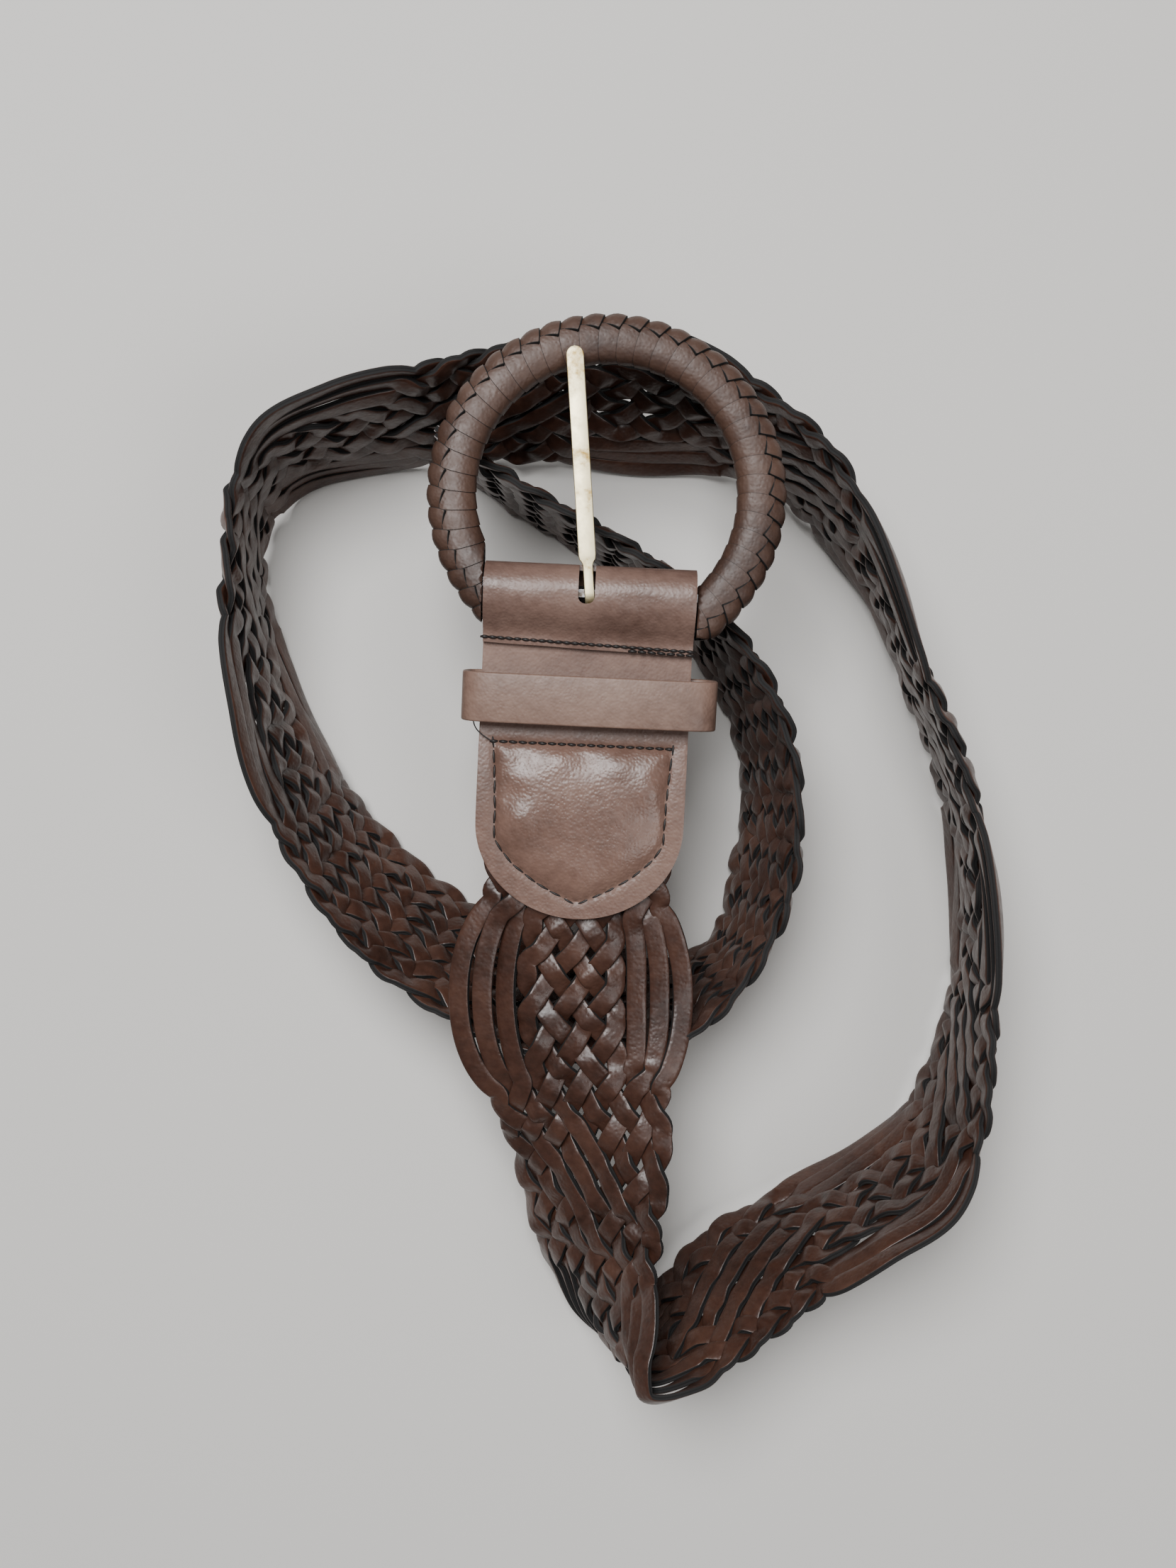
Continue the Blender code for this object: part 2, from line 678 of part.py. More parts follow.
strap = build_strap()
tab_back = build_tab_back()
tab_front = build_tab_front()
keeper = build_keeper()
frame = build_frame()
wrap = build_wrap()
prong = build_prong()
centre_on_floor([strap, tab_back, tab_front, keeper, frame, wrap, prong], list(CUTTERS.objects))
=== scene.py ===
# %% [markdown]
# A braided leather belt lies unfastened on a pale floor. Its strap stands on edge in a loose coil,
# and the ring buckle with its stitched tab lies on top.
# The CAD part gives every piece its size and place. This script dresses it: twelve flat strands
# follow the strap, lacing is plaited round the ring, and the tab gets grain, padding and stitches.

import math

import bmesh
import bpy
import numpy as np
from mathutils import Matrix, Vector


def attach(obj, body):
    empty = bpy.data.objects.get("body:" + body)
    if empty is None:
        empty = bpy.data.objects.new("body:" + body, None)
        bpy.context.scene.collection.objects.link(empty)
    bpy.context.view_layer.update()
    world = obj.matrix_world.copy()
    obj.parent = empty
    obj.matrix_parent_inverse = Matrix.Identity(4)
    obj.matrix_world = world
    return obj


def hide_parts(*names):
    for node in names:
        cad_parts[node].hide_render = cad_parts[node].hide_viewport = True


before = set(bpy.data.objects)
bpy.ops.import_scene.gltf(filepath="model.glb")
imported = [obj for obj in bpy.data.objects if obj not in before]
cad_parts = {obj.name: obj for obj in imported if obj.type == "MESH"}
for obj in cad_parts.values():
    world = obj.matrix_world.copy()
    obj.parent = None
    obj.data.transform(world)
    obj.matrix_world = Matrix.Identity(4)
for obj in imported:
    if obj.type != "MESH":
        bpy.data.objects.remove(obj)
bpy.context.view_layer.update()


# %% [markdown]
# These are the belt's own sizes in metres. They are the same as the CAD part's, so that every
# strand lies where the solid strap lies.

# %% Sizes
MM = 0.001
LEATHER = 1.4 * MM
STRAP_WIDTH = 46 * MM
STRAP_THICK = 3.6 * MM
STRAND_WIDTH = 5.0 * MM
STRAND_THICK = 1.8 * MM
STRANDS = 12
WEAVE_STEP = 6 * MM
LEAF_WIDTH = 57 * MM
LEAF_CORE = 27 * MM
COIL_WIDTH = 200 * MM
COIL_LENGTH = 280 * MM
CENTRING = Vector((-5.417 * MM, 19.052 * MM, 0.0))

TAB_WIDTH = 51 * MM
TAB_LENGTH = 79.5 * MM
TAB_DROP = 10 * MM
TAB_EMBED = 18 * MM
TAB_TILT = math.asin(TAB_DROP / TAB_LENGTH)
SEAM_FROM_BAR = 12 * MM
TAB_ASIDE = -2.85 * MM
BAR = Vector((1.2 * MM, 45.9 * MM, 0.0)) + CENTRING
BAR.z = STRAP_WIDTH * 1.112 + 9.5 * MM / 2 + 0.5 * MM

RING_RADIUS = 37 * MM
SECTION_WIDE = 12.7 * MM
SECTION_HIGH = 9.5 * MM
BAR_OFFSET = 24.5 * MM
RING_CENTRE = BAR + Vector((0.0, BAR_OFFSET, 0.0))
PLAIT_TURNS = 42

# Way of the strap: x and y are shares of the coil's width and length, height is a share of the
# strap's width, roll is 90 lying flat, 0 standing and below 0 leaning outwards.
WAY = [
    # x       y       height  roll
    (-0.008, -0.200, 0.930, 90),
    (0.006, -0.271, 0.868, 80),
    (0.020, -0.329, 0.795, 64),
    (0.026, -0.379, 0.725, 52),
    (0.033, -0.421, 0.685, 44),
    (0.046, -0.466, 0.650, 31),
    (0.060, -0.505, 0.632, 20),
    (0.098, -0.536, 0.625, 6),
    (0.150, -0.510, 0.612, -14),
    (0.220, -0.461, 0.590, -25),
    (0.305, -0.418, 0.590, -20),
    (0.380, -0.382, 0.612, -13),
    (0.450, -0.343, 0.610, -14),
    (0.486, -0.296, 0.610, -10),
    (0.511, -0.214, 0.613, -2),
    (0.511, -0.104, 0.614, 3),
    (0.496, -0.029, 0.614, 4),
    (0.466, 0.043, 0.614, 4),
    (0.404, 0.136, 0.614, 4),
    (0.370, 0.193, 0.614, 3),
    (0.331, 0.239, 0.613, -2),
    (0.280, 0.289, 0.612, -8),
    (0.213, 0.324, 0.600, -14),
    (0.135, 0.350, 0.575, -21),
    (0.040, 0.360, 0.545, -30),
    (-0.070, 0.357, 0.545, -29),
    (-0.170, 0.346, 0.560, -22),
    (-0.250, 0.332, 0.592, -17),
    (-0.335, 0.315, 0.612, -11),
    (-0.418, 0.288, 0.612, -6),
    (-0.454, 0.248, 0.614, -1),
    (-0.460, 0.193, 0.614, 1),
    (-0.450, 0.134, 0.613, -4),
    (-0.417, 0.057, 0.611, -9),
    (-0.376, -0.011, 0.595, -17),
    (-0.316, -0.079, 0.530, -23),
    (-0.255, -0.125, 0.465, -29),
    (-0.180, -0.164, 0.442, -31),
    (-0.110, -0.188, 0.436, -33),
    (0.015, -0.206, 0.432, -34),
    (0.135, -0.198, 0.468, -18),
    (0.200, -0.157, 0.490, -10),
    (0.237, -0.075, 0.490, -14),
    (0.242, 0.004, 0.492, -12),
    (0.220, 0.068, 0.494, -11),
    (0.170, 0.129, 0.492, -9),
    (0.100, 0.179, 0.495, -4),
    (0.020, 0.218, 0.496, -2),
    (-0.065, 0.250, 0.496, -1),
    (-0.160, 0.289, 0.496, 0),
    (-0.200, 0.309, 0.496, 0),
]
LEAF_STEPS = 8
LEAVES = [
    # first  width  tilt of the bowed strands in degrees
    (0, 1.06, 12),
    (16, 1.00, 16),
    (30, 1.00, 4),
    (44, 1.00, 10),
    (58, 1.00, 8),
    (72, 0.965, 10),
    (86, 1.00, 5),
    (100, 1.00, 5),
]
FIRST_STEP_AT = -3 * MM
print("way rows", len(WAY), "leaves", len(LEAVES))

# %% [markdown]
# Colours are read off the leather and written as sRGB hex. One function turns them into
# the linear values that the shader works with.

# %% Materials: helpers
def linear(hex_colour):
    values = [int(hex_colour[i:i + 2], 16) / 255 for i in (0, 2, 4)]
    return (*[v / 12.92 if v <= 0.04045 else ((v + 0.055) / 1.055) ** 2.4 for v in values], 1.0)


def node(tree, kind, settings=None, links=None, stops=()):
    """Adds a node. settings are values for its inputs or properties, links are sockets to join,
    and stops are the places and hex colours of a colour ramp."""
    made = tree.nodes.new(kind)
    for key, value in (settings or {}).items():
        if isinstance(key, str) and hasattr(made, key):
            setattr(made, key, value)
        else:
            made.inputs[key].default_value = value
    for key, socket in (links or {}).items():
        tree.links.new(socket, made.inputs[key])
    for number, (place, colour) in enumerate(stops):
        steps = made.color_ramp.elements
        step = steps[number] if number < len(steps) else steps.new(place)
        step.position = place
        step.color = linear(colour)
    return made


def new_material(name):
    mat = bpy.data.materials.new(name)
    mat.use_nodes = True
    return mat, mat.node_tree, mat.node_tree.nodes["Principled BSDF"]


def per_mm(size_mm):
    """Texture scale for a pattern of that size in millimetres."""
    return 1000.0 / size_mm


print("texture scale of a 1 mm pattern", per_mm(1.0))

# %% [markdown]
# The leathers differ in colour, shine and grain but are made alike, so one function makes them
# all. A picture of leather could be laid on instead, but patterns in real millimetres fit a piece
# of any size. A broad noise gives the uneven tone, small cells give the pebbled grain, and a
# finer noise makes the shine wander.

# %% Materials: leather
def leather(name, dark, mid, light, rough=(0.36, 0.52), grain_mm=0.9, grain=0.25,
            cut_edges_and_overlap_shade=False, dull_parts=False, coat=0.12):
    """Finished leather: blotchy tone, fine pebble grain, creases and a satin coat."""
    mat, tree, shader = new_material(name)
    place = node(tree, "ShaderNodeTexCoord").outputs["Object"]
    broad = node(tree, "ShaderNodeTexNoise", {"Scale": per_mm(22), "Detail": 4.0},
                 {"Vector": place})
    fine = node(tree, "ShaderNodeTexNoise", {"Scale": per_mm(2.2), "Detail": 6.0},
                {"Vector": place})
    tone = node(tree, "ShaderNodeMath", {"operation": "MULTIPLY_ADD", 1: 0.35, 2: -0.05},
                {0: fine.outputs["Fac"]})
    tone = node(tree, "ShaderNodeMath", {"operation": "MULTIPLY_ADD", 1: 0.75},
                {0: broad.outputs["Fac"], 2: tone.outputs[0]})
    colour = node(tree, "ShaderNodeValToRGB", links={0: tone.outputs[0]},
                  stops=[(0.28, dark), (0.5, mid), (0.78, light)]).outputs["Color"]
    pebble = node(tree, "ShaderNodeTexVoronoi", {"Scale": per_mm(grain_mm), "feature": "SMOOTH_F1"},
                  {"Vector": place})
    crease = node(tree, "ShaderNodeTexNoise", {"Scale": per_mm(2.6), "Detail": 5.0,
                                               "Distortion": 0.5}, {"Vector": place})
    height = node(tree, "ShaderNodeMath", {"operation": "MULTIPLY_ADD", 1: 1.6},
                  {0: pebble.outputs["Distance"], 2: crease.outputs["Fac"]})
    bump = node(tree, "ShaderNodeBump", {"Strength": grain, "Distance": 0.11 * MM},
                {"Height": height.outputs[0]})
    gloss = node(tree, "ShaderNodeMapRange", {1: 0.3, 2: 0.7, 3: rough[0], 4: rough[1]},
                 {0: crease.outputs["Fac"]})
    rough_out = gloss.outputs[0]
    if dull_parts:
        part = node(tree, "ShaderNodeAttribute", {"attribute_name": "dull"}).outputs["Fac"]
        rough_out = node(tree, "ShaderNodeMix", {"data_type": "FLOAT", 3: 0.62},
                         {0: part, 2: rough_out}).outputs[0]
    # Marked cut edges take a near-black raw colour; on the lace the marked undersides take it too,
    # as painted shade where turns overlap.
    if cut_edges_and_overlap_shade:
        edge = node(tree, "ShaderNodeAttribute", {"attribute_name": "cut_edge_and_overlap_shade"}).outputs["Fac"]
        ply = node(tree, "ShaderNodeMapRange", {1: 0.30, 2: 0.42, 3: 0.0, 4: 1.0},
                   {0: edge}).outputs[0]
        core = node(tree, "ShaderNodeMapRange", {1: 0.75, 2: 0.95, 3: 0.0, 4: 1.0}, {0: edge})
        raw_edge_and_shade = node(tree, "ShaderNodeMix", {"data_type": "RGBA", 6: linear("141313"),
                                           7: linear("040405")}, {0: core.outputs[0]})
        mixed = node(tree, "ShaderNodeMix", {"data_type": "RGBA"},
                     {0: ply, 6: colour, 7: raw_edge_and_shade.outputs[2]})
        colour = mixed.outputs[2]
        dull = node(tree, "ShaderNodeMix", {"data_type": "FLOAT", 3: 0.85}, {0: ply, 2: rough_out})
        rough_out = dull.outputs[0]
    tree.links.new(colour, shader.inputs["Base Color"])
    tree.links.new(rough_out, shader.inputs["Roughness"])
    tree.links.new(bump.outputs[0], shader.inputs["Normal"])
    shader.inputs["IOR"].default_value = 1.48
    shader.inputs["Coat Weight"].default_value = coat
    shader.inputs["Coat Roughness"].default_value = 0.3
    return mat


# Two layers of split leather glued back to back and cut into flat strips: a smooth brown face that
# shines where it bends over its neighbour, and dull, nearly black cut edges round every strand.
STRAND_LEATHER = leather("bonded_leather_strand_cut_flat", "22130D", "3B251D", "51372C",
                         rough=(0.30, 0.44), grain_mm=0.9, grain=0.45, cut_edges_and_overlap_shade=True, coat=0.0)
# Corrected-grain leather, pressed with a fine pattern and lightly coated: even, satin, dusty brown.
TAB_LEATHER = leather("tab_leather_fine_grain", "533E36", "6A534A", "7C645A", grain_mm=0.7,
                      grain=0.55)
# The same leather drawn tight over padding: the grain opens and the face takes bright highlights.
PANEL_LEATHER = leather("tab_panel_leather_stretched", "533D34", "6A5147", "7F6559",
                        rough=(0.29, 0.42), grain_mm=0.7, grain=0.6, dull_parts=True)
# Thinned leather bent into a loop: smooth and dull, a little lighter where it is stretched.
KEEPER_LEATHER = leather("keeper_leather_skived", "594339", "725A4F", "856D61", grain_mm=0.7,
                         rough=(0.46, 0.60), grain=0.5)
# Soft lace leather without a top coat: dull brown, with near-black cut edges; its undersides are
# painted the same near black as shade where turns overlap.
LACING_LEATHER = leather("ring_lacing_kip_leather", "2C1C16", "453128", "543F35",
                         rough=(0.44, 0.58), grain_mm=0.8, grain=0.5, cut_edges_and_overlap_shade=True, coat=0.0)
print("leathers", len(bpy.data.materials))

# %% [markdown]
# The prong is cast and plated, the frame is drawn wire, and the thread is waxed. A metal is seen by
# what it reflects, so its colour changes only in worn patches and its roughness goes with them.
# Thread, core and floor are dull, and one plain function serves all three.

# %% Materials: metal, thread and floor
def metal(name, base, stain, rough):
    """Plated metal with a soft brushed look and a few stains."""
    mat, tree, shader = new_material(name)
    place = node(tree, "ShaderNodeTexCoord").outputs["Object"]
    patch = node(tree, "ShaderNodeTexNoise", {"Scale": per_mm(6.0), "Detail": 5.0,
                                              "Roughness": 0.65}, {"Vector": place})
    colour = node(tree, "ShaderNodeValToRGB", links={0: patch.outputs["Fac"]},
                  stops=[(0.0, base), (0.56, base), (0.70, stain)]).outputs["Color"]
    streak = node(tree, "ShaderNodeMapping", {"Scale": (1.0, 0.06, 1.0)}, {"Vector": place})
    brush = node(tree, "ShaderNodeTexNoise", {"Scale": per_mm(0.35), "Detail": 3.0},
                 {"Vector": streak.outputs[0]})
    bump = node(tree, "ShaderNodeBump", {"Strength": 0.12, "Distance": 0.05 * MM},
                {"Height": brush.outputs["Fac"]})
    gloss = node(tree, "ShaderNodeMapRange", {1: 0.4, 2: 0.7, 3: rough, 4: rough + 0.2},
                 {0: patch.outputs["Fac"]})
    tree.links.new(colour, shader.inputs["Base Color"])
    tree.links.new(bump.outputs[0], shader.inputs["Normal"])
    tree.links.new(gloss.outputs[0], shader.inputs["Roughness"])
    shader.inputs["Metallic"].default_value = 1.0
    return mat


def plain(name, colour, roughness, tooth_mm):
    """A dull material with a fine twist or tooth."""
    mat, tree, shader = new_material(name)
    shader.inputs["Base Color"].default_value = linear(colour)
    shader.inputs["Roughness"].default_value = roughness
    place = node(tree, "ShaderNodeTexCoord").outputs["Object"]
    noise = node(tree, "ShaderNodeTexNoise", {"Scale": per_mm(tooth_mm)}, {"Vector": place})
    bump = node(tree, "ShaderNodeBump", {"Strength": 0.3, "Distance": 0.1 * MM},
                {"Height": noise.outputs["Fac"]})
    tree.links.new(bump.outputs[0], shader.inputs["Normal"])
    return mat


# Zinc alloy, cast and thinly plated: pale, creamy and soft in its shine, with yellow worn patches.
PRONG_METAL = metal("prong_plated_zinc_tarnished", "D9CDA8", "A8863C", 0.42)
# Drawn steel wire: grey and plain, and hardly seen under the leather.
FRAME_STEEL = metal("frame_drawn_steel_wire", "8C8C8E", "6A5A48", 0.35)
# Waxed polyester thread: nearly black, with a faint shine on each twist.
THREAD = plain("thread_waxed_polyester_black", "1B1716", 0.55, 0.3)
# Wound fibre core, dull and near black: its colour is painted shade in the cracks between turns.
CORE_CRACK_SHADE = plain("ring_core_painted_crack_shade", "1C1210", 0.8, 0.8)
# Painted board: pale and matt, so that it only carries the shadows.
FLOOR = plain("floor_pale_matt_board", "CFCDCA", 0.9, 3.0)
print("materials", len(bpy.data.materials))

# %% [markdown]
# Small tools that every piece uses. A Geometry Nodes tree is built once, its inputs are set, and
# its result is kept as a plain mesh that rides on a CAD body.

# %% Piece tools
def put(name, mesh, mat=None):
    obj = bpy.data.objects.new(name, mesh)
    bpy.context.scene.collection.objects.link(obj)
    if mat is not None:
        mesh.materials.append(mat)
    return obj


def shaded(mesh, degrees=None):
    mesh.shade_smooth()
    if degrees is not None:
        mesh.set_sharp_from_angle(angle=math.radians(degrees))
    return mesh


def plain_copy(obj, name):
    """The evaluated result of an object as a plain mesh object; the worked object goes."""
    bpy.context.view_layer.update()
    graph = bpy.context.evaluated_depsgraph_get()
    mesh = bpy.data.meshes.new_from_object(obj.evaluated_get(graph))
    mesh.transform(obj.matrix_world)
    mesh.name = name
    bpy.data.objects.remove(obj)
    made = bpy.data.objects.new(name, mesh)
    bpy.context.scene.collection.objects.link(made)
    return made


def helper(name, mesh):
    """An object that only feeds a node tree."""
    obj = put(name, mesh)
    obj.hide_render = True
    return obj


def nodes_modifier(obj, tree, **values):
    """Puts a tree on an object and sets the tree's named inputs by socket identifier."""
    mod = obj.modifiers.new(tree.name, "NODES")
    mod.node_group = tree
    names = {s.name: s.identifier for s in tree.interface.items_tree
             if s.item_type == "SOCKET" and s.in_out == "INPUT"}
    for key, value in values.items():
        mod[names[key]] = value


def new_tree(name, inputs):
    """A geometry tree with a mesh in and out and the named inputs (name, type, default)."""
    tree = bpy.data.node_groups.new(name, "GeometryNodeTree")
    face = tree.interface
    face.new_socket("Geometry", in_out="INPUT", socket_type="NodeSocketGeometry")
    for label, kind, default in inputs:
        made = face.new_socket(label, in_out="INPUT", socket_type="NodeSocket" + kind)
        if default is not None:
            made.default_value = default
    face.new_socket("Geometry", in_out="OUTPUT", socket_type="NodeSocketGeometry")
    start = tree.nodes.new("NodeGroupInput")
    end = tree.nodes.new("NodeGroupOutput")
    return tree, start.outputs, end.inputs


def line_mesh(name, points, normals, closed=False):
    """Points joined in a row, each with the direction that the face of the strip looks in."""
    mesh = bpy.data.meshes.new(name)
    edges = [(i, i + 1) for i in range(len(points) - 1)]
    if closed:
        edges.append((len(points) - 1, 0))
    mesh.from_pydata([tuple(p) for p in points], edges, [])
    look = mesh.attributes.new("face_normal", "FLOAT_VECTOR", "POINT")
    look.data.foreach_set("vector", np.array(normals, float).reshape(-1))
    return mesh


def grid_mesh(name, rows, closed=False):
    """A surface through rows of points."""
    count = len(rows[0])
    verts = [tuple(p) for row in rows for p in row]
    faces = []
    for r in range(len(rows) - 1):
        for c in range(count if closed else count - 1):
            d = (c + 1) % count
            faces.append((r * count + c, r * count + d, (r + 1) * count + d, (r + 1) * count + c))
    mesh = bpy.data.meshes.new(name)
    mesh.from_pydata(verts, [], faces)
    return mesh


def closed_up(mesh):
    """Fills a mesh's open ends and turns its faces outwards."""
    bm = bmesh.new()
    bm.from_mesh(mesh)
    bmesh.ops.holes_fill(bm, edges=[e for e in bm.edges if e.is_boundary], sides=0)
    bmesh.ops.recalc_face_normals(bm, faces=bm.faces)
    bm.to_mesh(mesh)
    bm.free()
    return mesh


# %% [markdown]
# The strap's middle line and its frame are worked out as in the CAD part: a smooth line through
# the way's rows, and at every distance a point, the direction the front looks in, and the
# direction towards the edge that stands up.

# %% Way of the strap
def tab_point(along, normal, across=0.0):
    """A point of the tab: along it from the bar, above its middle plane, and across."""
    c = math.cos(TAB_TILT)
    s = math.sin(TAB_TILT)
    return BAR + Vector((TAB_ASIDE + across, -along * c - normal * s, -along * s + normal * c))


def way_line(per_row=24):
    """The strap's middle as dense rows (x, y, z, roll), and the distance from the tab's end."""
    rows = [(*tab_point(along, 0.0), 90.0) for along in (TAB_LENGTH - TAB_EMBED, TAB_LENGTH)]
    for x, y, height, roll in WAY:
        rows.append((x * COIL_WIDTH + CENTRING.x, y * COIL_LENGTH + CENTRING.y,
                     height * STRAP_WIDTH, roll))
    rows = np.array(rows)
    steps = np.linalg.norm(np.diff(rows[:, :3], axis=0), axis=1)
    slopes = np.zeros_like(rows)
    slopes[0] = (rows[1] - rows[0]) / steps[0]
    slopes[-1] = (rows[-1] - rows[-2]) / steps[-1]
    for i in range(1, len(rows) - 1):
        before = (rows[i] - rows[i - 1]) / steps[i - 1]
        after = (rows[i + 1] - rows[i]) / steps[i]
        slopes[i] = (before * steps[i] + after * steps[i - 1]) / (steps[i - 1] + steps[i])
    line = []
    for i, length in enumerate(steps):
        for t in np.linspace(0.0, 1.0, per_row, endpoint=False):
            line.append((2 * t ** 3 - 3 * t ** 2 + 1) * rows[i]
                        + (t ** 3 - 2 * t ** 2 + t) * length * slopes[i]
                        + (-2 * t ** 3 + 3 * t ** 2) * rows[i + 1]
                        + (t ** 3 - t ** 2) * length * slopes[i + 1])
    line.append(rows[-1])
    line = np.array(line)
    run = np.concatenate([[0.0], np.cumsum(np.linalg.norm(np.diff(line[:, :3], axis=0), axis=1))])
    return line, run - run[per_row]


def frames_along(line, run, at):
    """Middle points, front directions and up-edge directions at the distances in at."""
    here = np.stack([np.interp(at, run, line[:, i]) for i in range(4)], axis=1)
    near = 2 * MM
    ahead = np.stack([np.interp(at + near, run, line[:, i]) for i in range(3)], axis=1)
    behind = np.stack([np.interp(at - near, run, line[:, i]) for i in range(3)], axis=1)
    along = ahead - behind
    along /= np.linalg.norm(along, axis=1)[:, None]
    outward = np.cross(along, (0.0, 0.0, 1.0))
    outward /= np.linalg.norm(outward, axis=1)[:, None]
    upward = np.cross(outward, along)
    roll = np.radians(here[:, 3])[:, None]
    front = np.cos(roll) * outward + np.sin(roll) * upward
    edge = np.cos(roll) * upward - np.sin(roll) * outward
    return here[:, :3], front, edge


WAY_LINE, WAY_RUN = way_line()
FIRST_STEP = math.ceil((WAY_RUN[0] - FIRST_STEP_AT) / WEAVE_STEP)
LAST_STEP = math.floor((WAY_RUN[-1] - FIRST_STEP_AT) / WEAVE_STEP)
print("strap past the tab, m", round(float(WAY_RUN[-1]), 3), "steps", FIRST_STEP, LAST_STEP)

# %% [markdown]
# Twelve strands lie side by side in slots. At every step neighbours cross, at odd slots on odd
# steps and at even slots on even steps, which is how a flat braid is made by hand. In a leaf only
# the middle six go on crossing, and three strands on each side bow out. In the middle of the close
# weave between two leaves three strands run over three others in one diamond.

# %% Braid
EDGE_TILT = 16


def leaf_at(step):
    """(tilt, steps from its middle, width share) or None in the close weave."""
    for first, width, tilt in LEAVES:
        away = step - first - LEAF_STEPS / 2
        if abs(away) <= LEAF_STEPS / 2:
            return tilt, away, width
    return None


def bow_at(step):
    """How far the side strands bow out: 1 in a leaf's middle, 0 in the close weave."""
    leaf = leaf_at(step)
    if leaf is None:
        return 0.0, 1.0
    return (1 - (abs(leaf[1]) / (LEAF_STEPS / 2)) ** 2.2) ** 0.85, leaf[2]


def slot_place(slot, step):
    """Place across the band of a slot, from -X at the tab to +X."""
    bow, width = bow_at(step)
    side = slot - 6.5
    close = side * (STRAP_WIDTH / 2 - STRAND_WIDTH * 0.45) / 5.5
    core_half = LEAF_CORE / 2 - STRAND_WIDTH * 0.5
    if abs(side) < 3:
        open_ = side * core_half / 2.5
    else:
        number = abs(side) - 3.5
        inner = LEAF_CORE / 2 + 2.9 * MM
        outer = LEAF_WIDTH * width / 2 - STRAND_WIDTH * 0.42
        open_ = math.copysign(inner + (outer - inner) * number / 2, side)
    return close + (open_ - close) * bow


def diamond_middles():
    """Steps in the middle of each close stretch between two leaves."""
    ends = [row[0] + LEAF_STEPS for row in LEAVES[:-1]]
    starts = [row[0] for row in LEAVES[1:]]
    return [(a + b) / 2 for a, b in zip(ends, starts)]


def braid():
    """For each strand its knots: (step, place across, height over the middle, tilt)."""
    middles = diamond_middles()
    slots = list(range(1, STRANDS + 1))
    knots = [[] for _ in slots]
    order = {slot: slot - 1 for slot in slots}
    for step in range(FIRST_STEP, LAST_STEP + 1):
        leaf = leaf_at(step)
        inside = leaf is not None and abs(leaf[1]) < LEAF_STEPS / 2
        low, high = (4, 9) if inside else (1, STRANDS)
        bow, _ = bow_at(step)
        crossed = {}
        for slot in range(low, high):
            if slot % 2 != step % 2:
                continue
            right_over = slot % 2 == 1
            for middle in middles:
                if abs(step - middle) + abs(slot + 0.5 - 6.5) <= 3.1:
                    right_over = True
            crossed[slot] = right_over
        for slot in slots:
            strand = order[slot]
            if slot in crossed:
                place = (slot_place(slot, step) + slot_place(slot + 1, step)) / 2
                lift = 1.0 if crossed[slot] else -1.0
            elif slot - 1 in crossed:
                place = (slot_place(slot, step) + slot_place(slot - 1, step)) / 2
                lift = -1.0 if crossed[slot - 1] else 1.0
            else:
                place = slot_place(slot, step)
                lift = 0.0
            tilt = 0.0
            if inside and not 4 <= slot <= 9:
                tilt = bow * math.copysign(leaf[0], slot - 6.5)
            elif slot in (low, high) and lift == 0.0:
                tilt = EDGE_TILT * math.copysign(1.0, slot - 6.5)
            knots[strand].append((step, place, lift, tilt))
        for slot in crossed:
            order[slot], order[slot + 1] = order[slot + 1], order[slot]
        for slot in slots:
            knots[order[slot]].append((step + 0.5, slot_place(slot, step + 0.5), None, None))
    return knots


KNOTS = braid()
print("knots in each strand", len(KNOTS[0]))

# %% [markdown]
# Strands laid by hand are never quite even. Each crossing is moved and tilted a little at random,
# always by the same seed, so that the belt comes out the same every time. The strands that bow out
# cross nothing, and they only sway slowly. A smooth line then joins the crossings.

# %% A hand's unevenness
HAND = np.random.default_rng(11)
HAND_PLACE = 0.20 * MM
HAND_LIFT = 0.14
HAND_TILT = 7
BOW_SWAY = 0.55
BOW_TWIST = 12
BOW_STEPS = 2.6


def fill_between(knots):
    """Half-step knots take the mean of their neighbours, and all wander a little by hand."""
    rows = [list(k) for k in knots]
    for i, row in enumerate(rows):
        if row[2] is None:
            after = rows[min(i + 1, len(rows) - 2)]
            before = rows[i - 1]
            row[2] = (before[2] + after[2]) / 2
            row[3] = (before[3] + after[3]) / 2
    rows = np.array(rows, float)
    woven = np.abs(rows[:, 2]) > 0.1
    count = len(rows)
    rows[:, 1] += HAND.normal(0, HAND_PLACE, count) * woven
    rows[:, 2] += HAND.normal(0, HAND_LIFT, count) * woven
    rows[:, 3] += HAND.normal(0, HAND_TILT, count) * woven
    slow = np.sin(rows[:, 0] / BOW_STEPS + HAND.uniform(0, math.tau))
    rows[:, 2] += BOW_SWAY * slow * ~woven
    rows[:, 3] += BOW_TWIST * slow * ~woven
    return rows


def smooth_between(rows, per_knot=4):
    """A smooth line through the knots."""
    out = []
    for i in range(len(rows) - 1):
        p0 = rows[max(i - 1, 0)]
        p1 = rows[i]
        p2 = rows[i + 1]
        p3 = rows[min(i + 2, len(rows) - 1)]
        for t in np.linspace(0.0, 1.0, per_knot, endpoint=False):
            out.append(0.5 * (2 * p1 + (p2 - p0) * t + (2 * p0 - 5 * p1 + 4 * p2 - p3) * t ** 2
                              + (3 * p1 - p0 - 3 * p2 + p3) * t ** 3))
    return np.array(out)


# %% [markdown]
# A strand is two thin layers of leather glued back to back and cut into a flat strip. A bevelled
# curve could give it, but its face would twist of its own accord. Here a tree sweeps the strip's
# cross-section along a line that carries the way the face looks, so the strip lies as it should.
# The cross-section also marks the cut edges, which the leather shows dark.

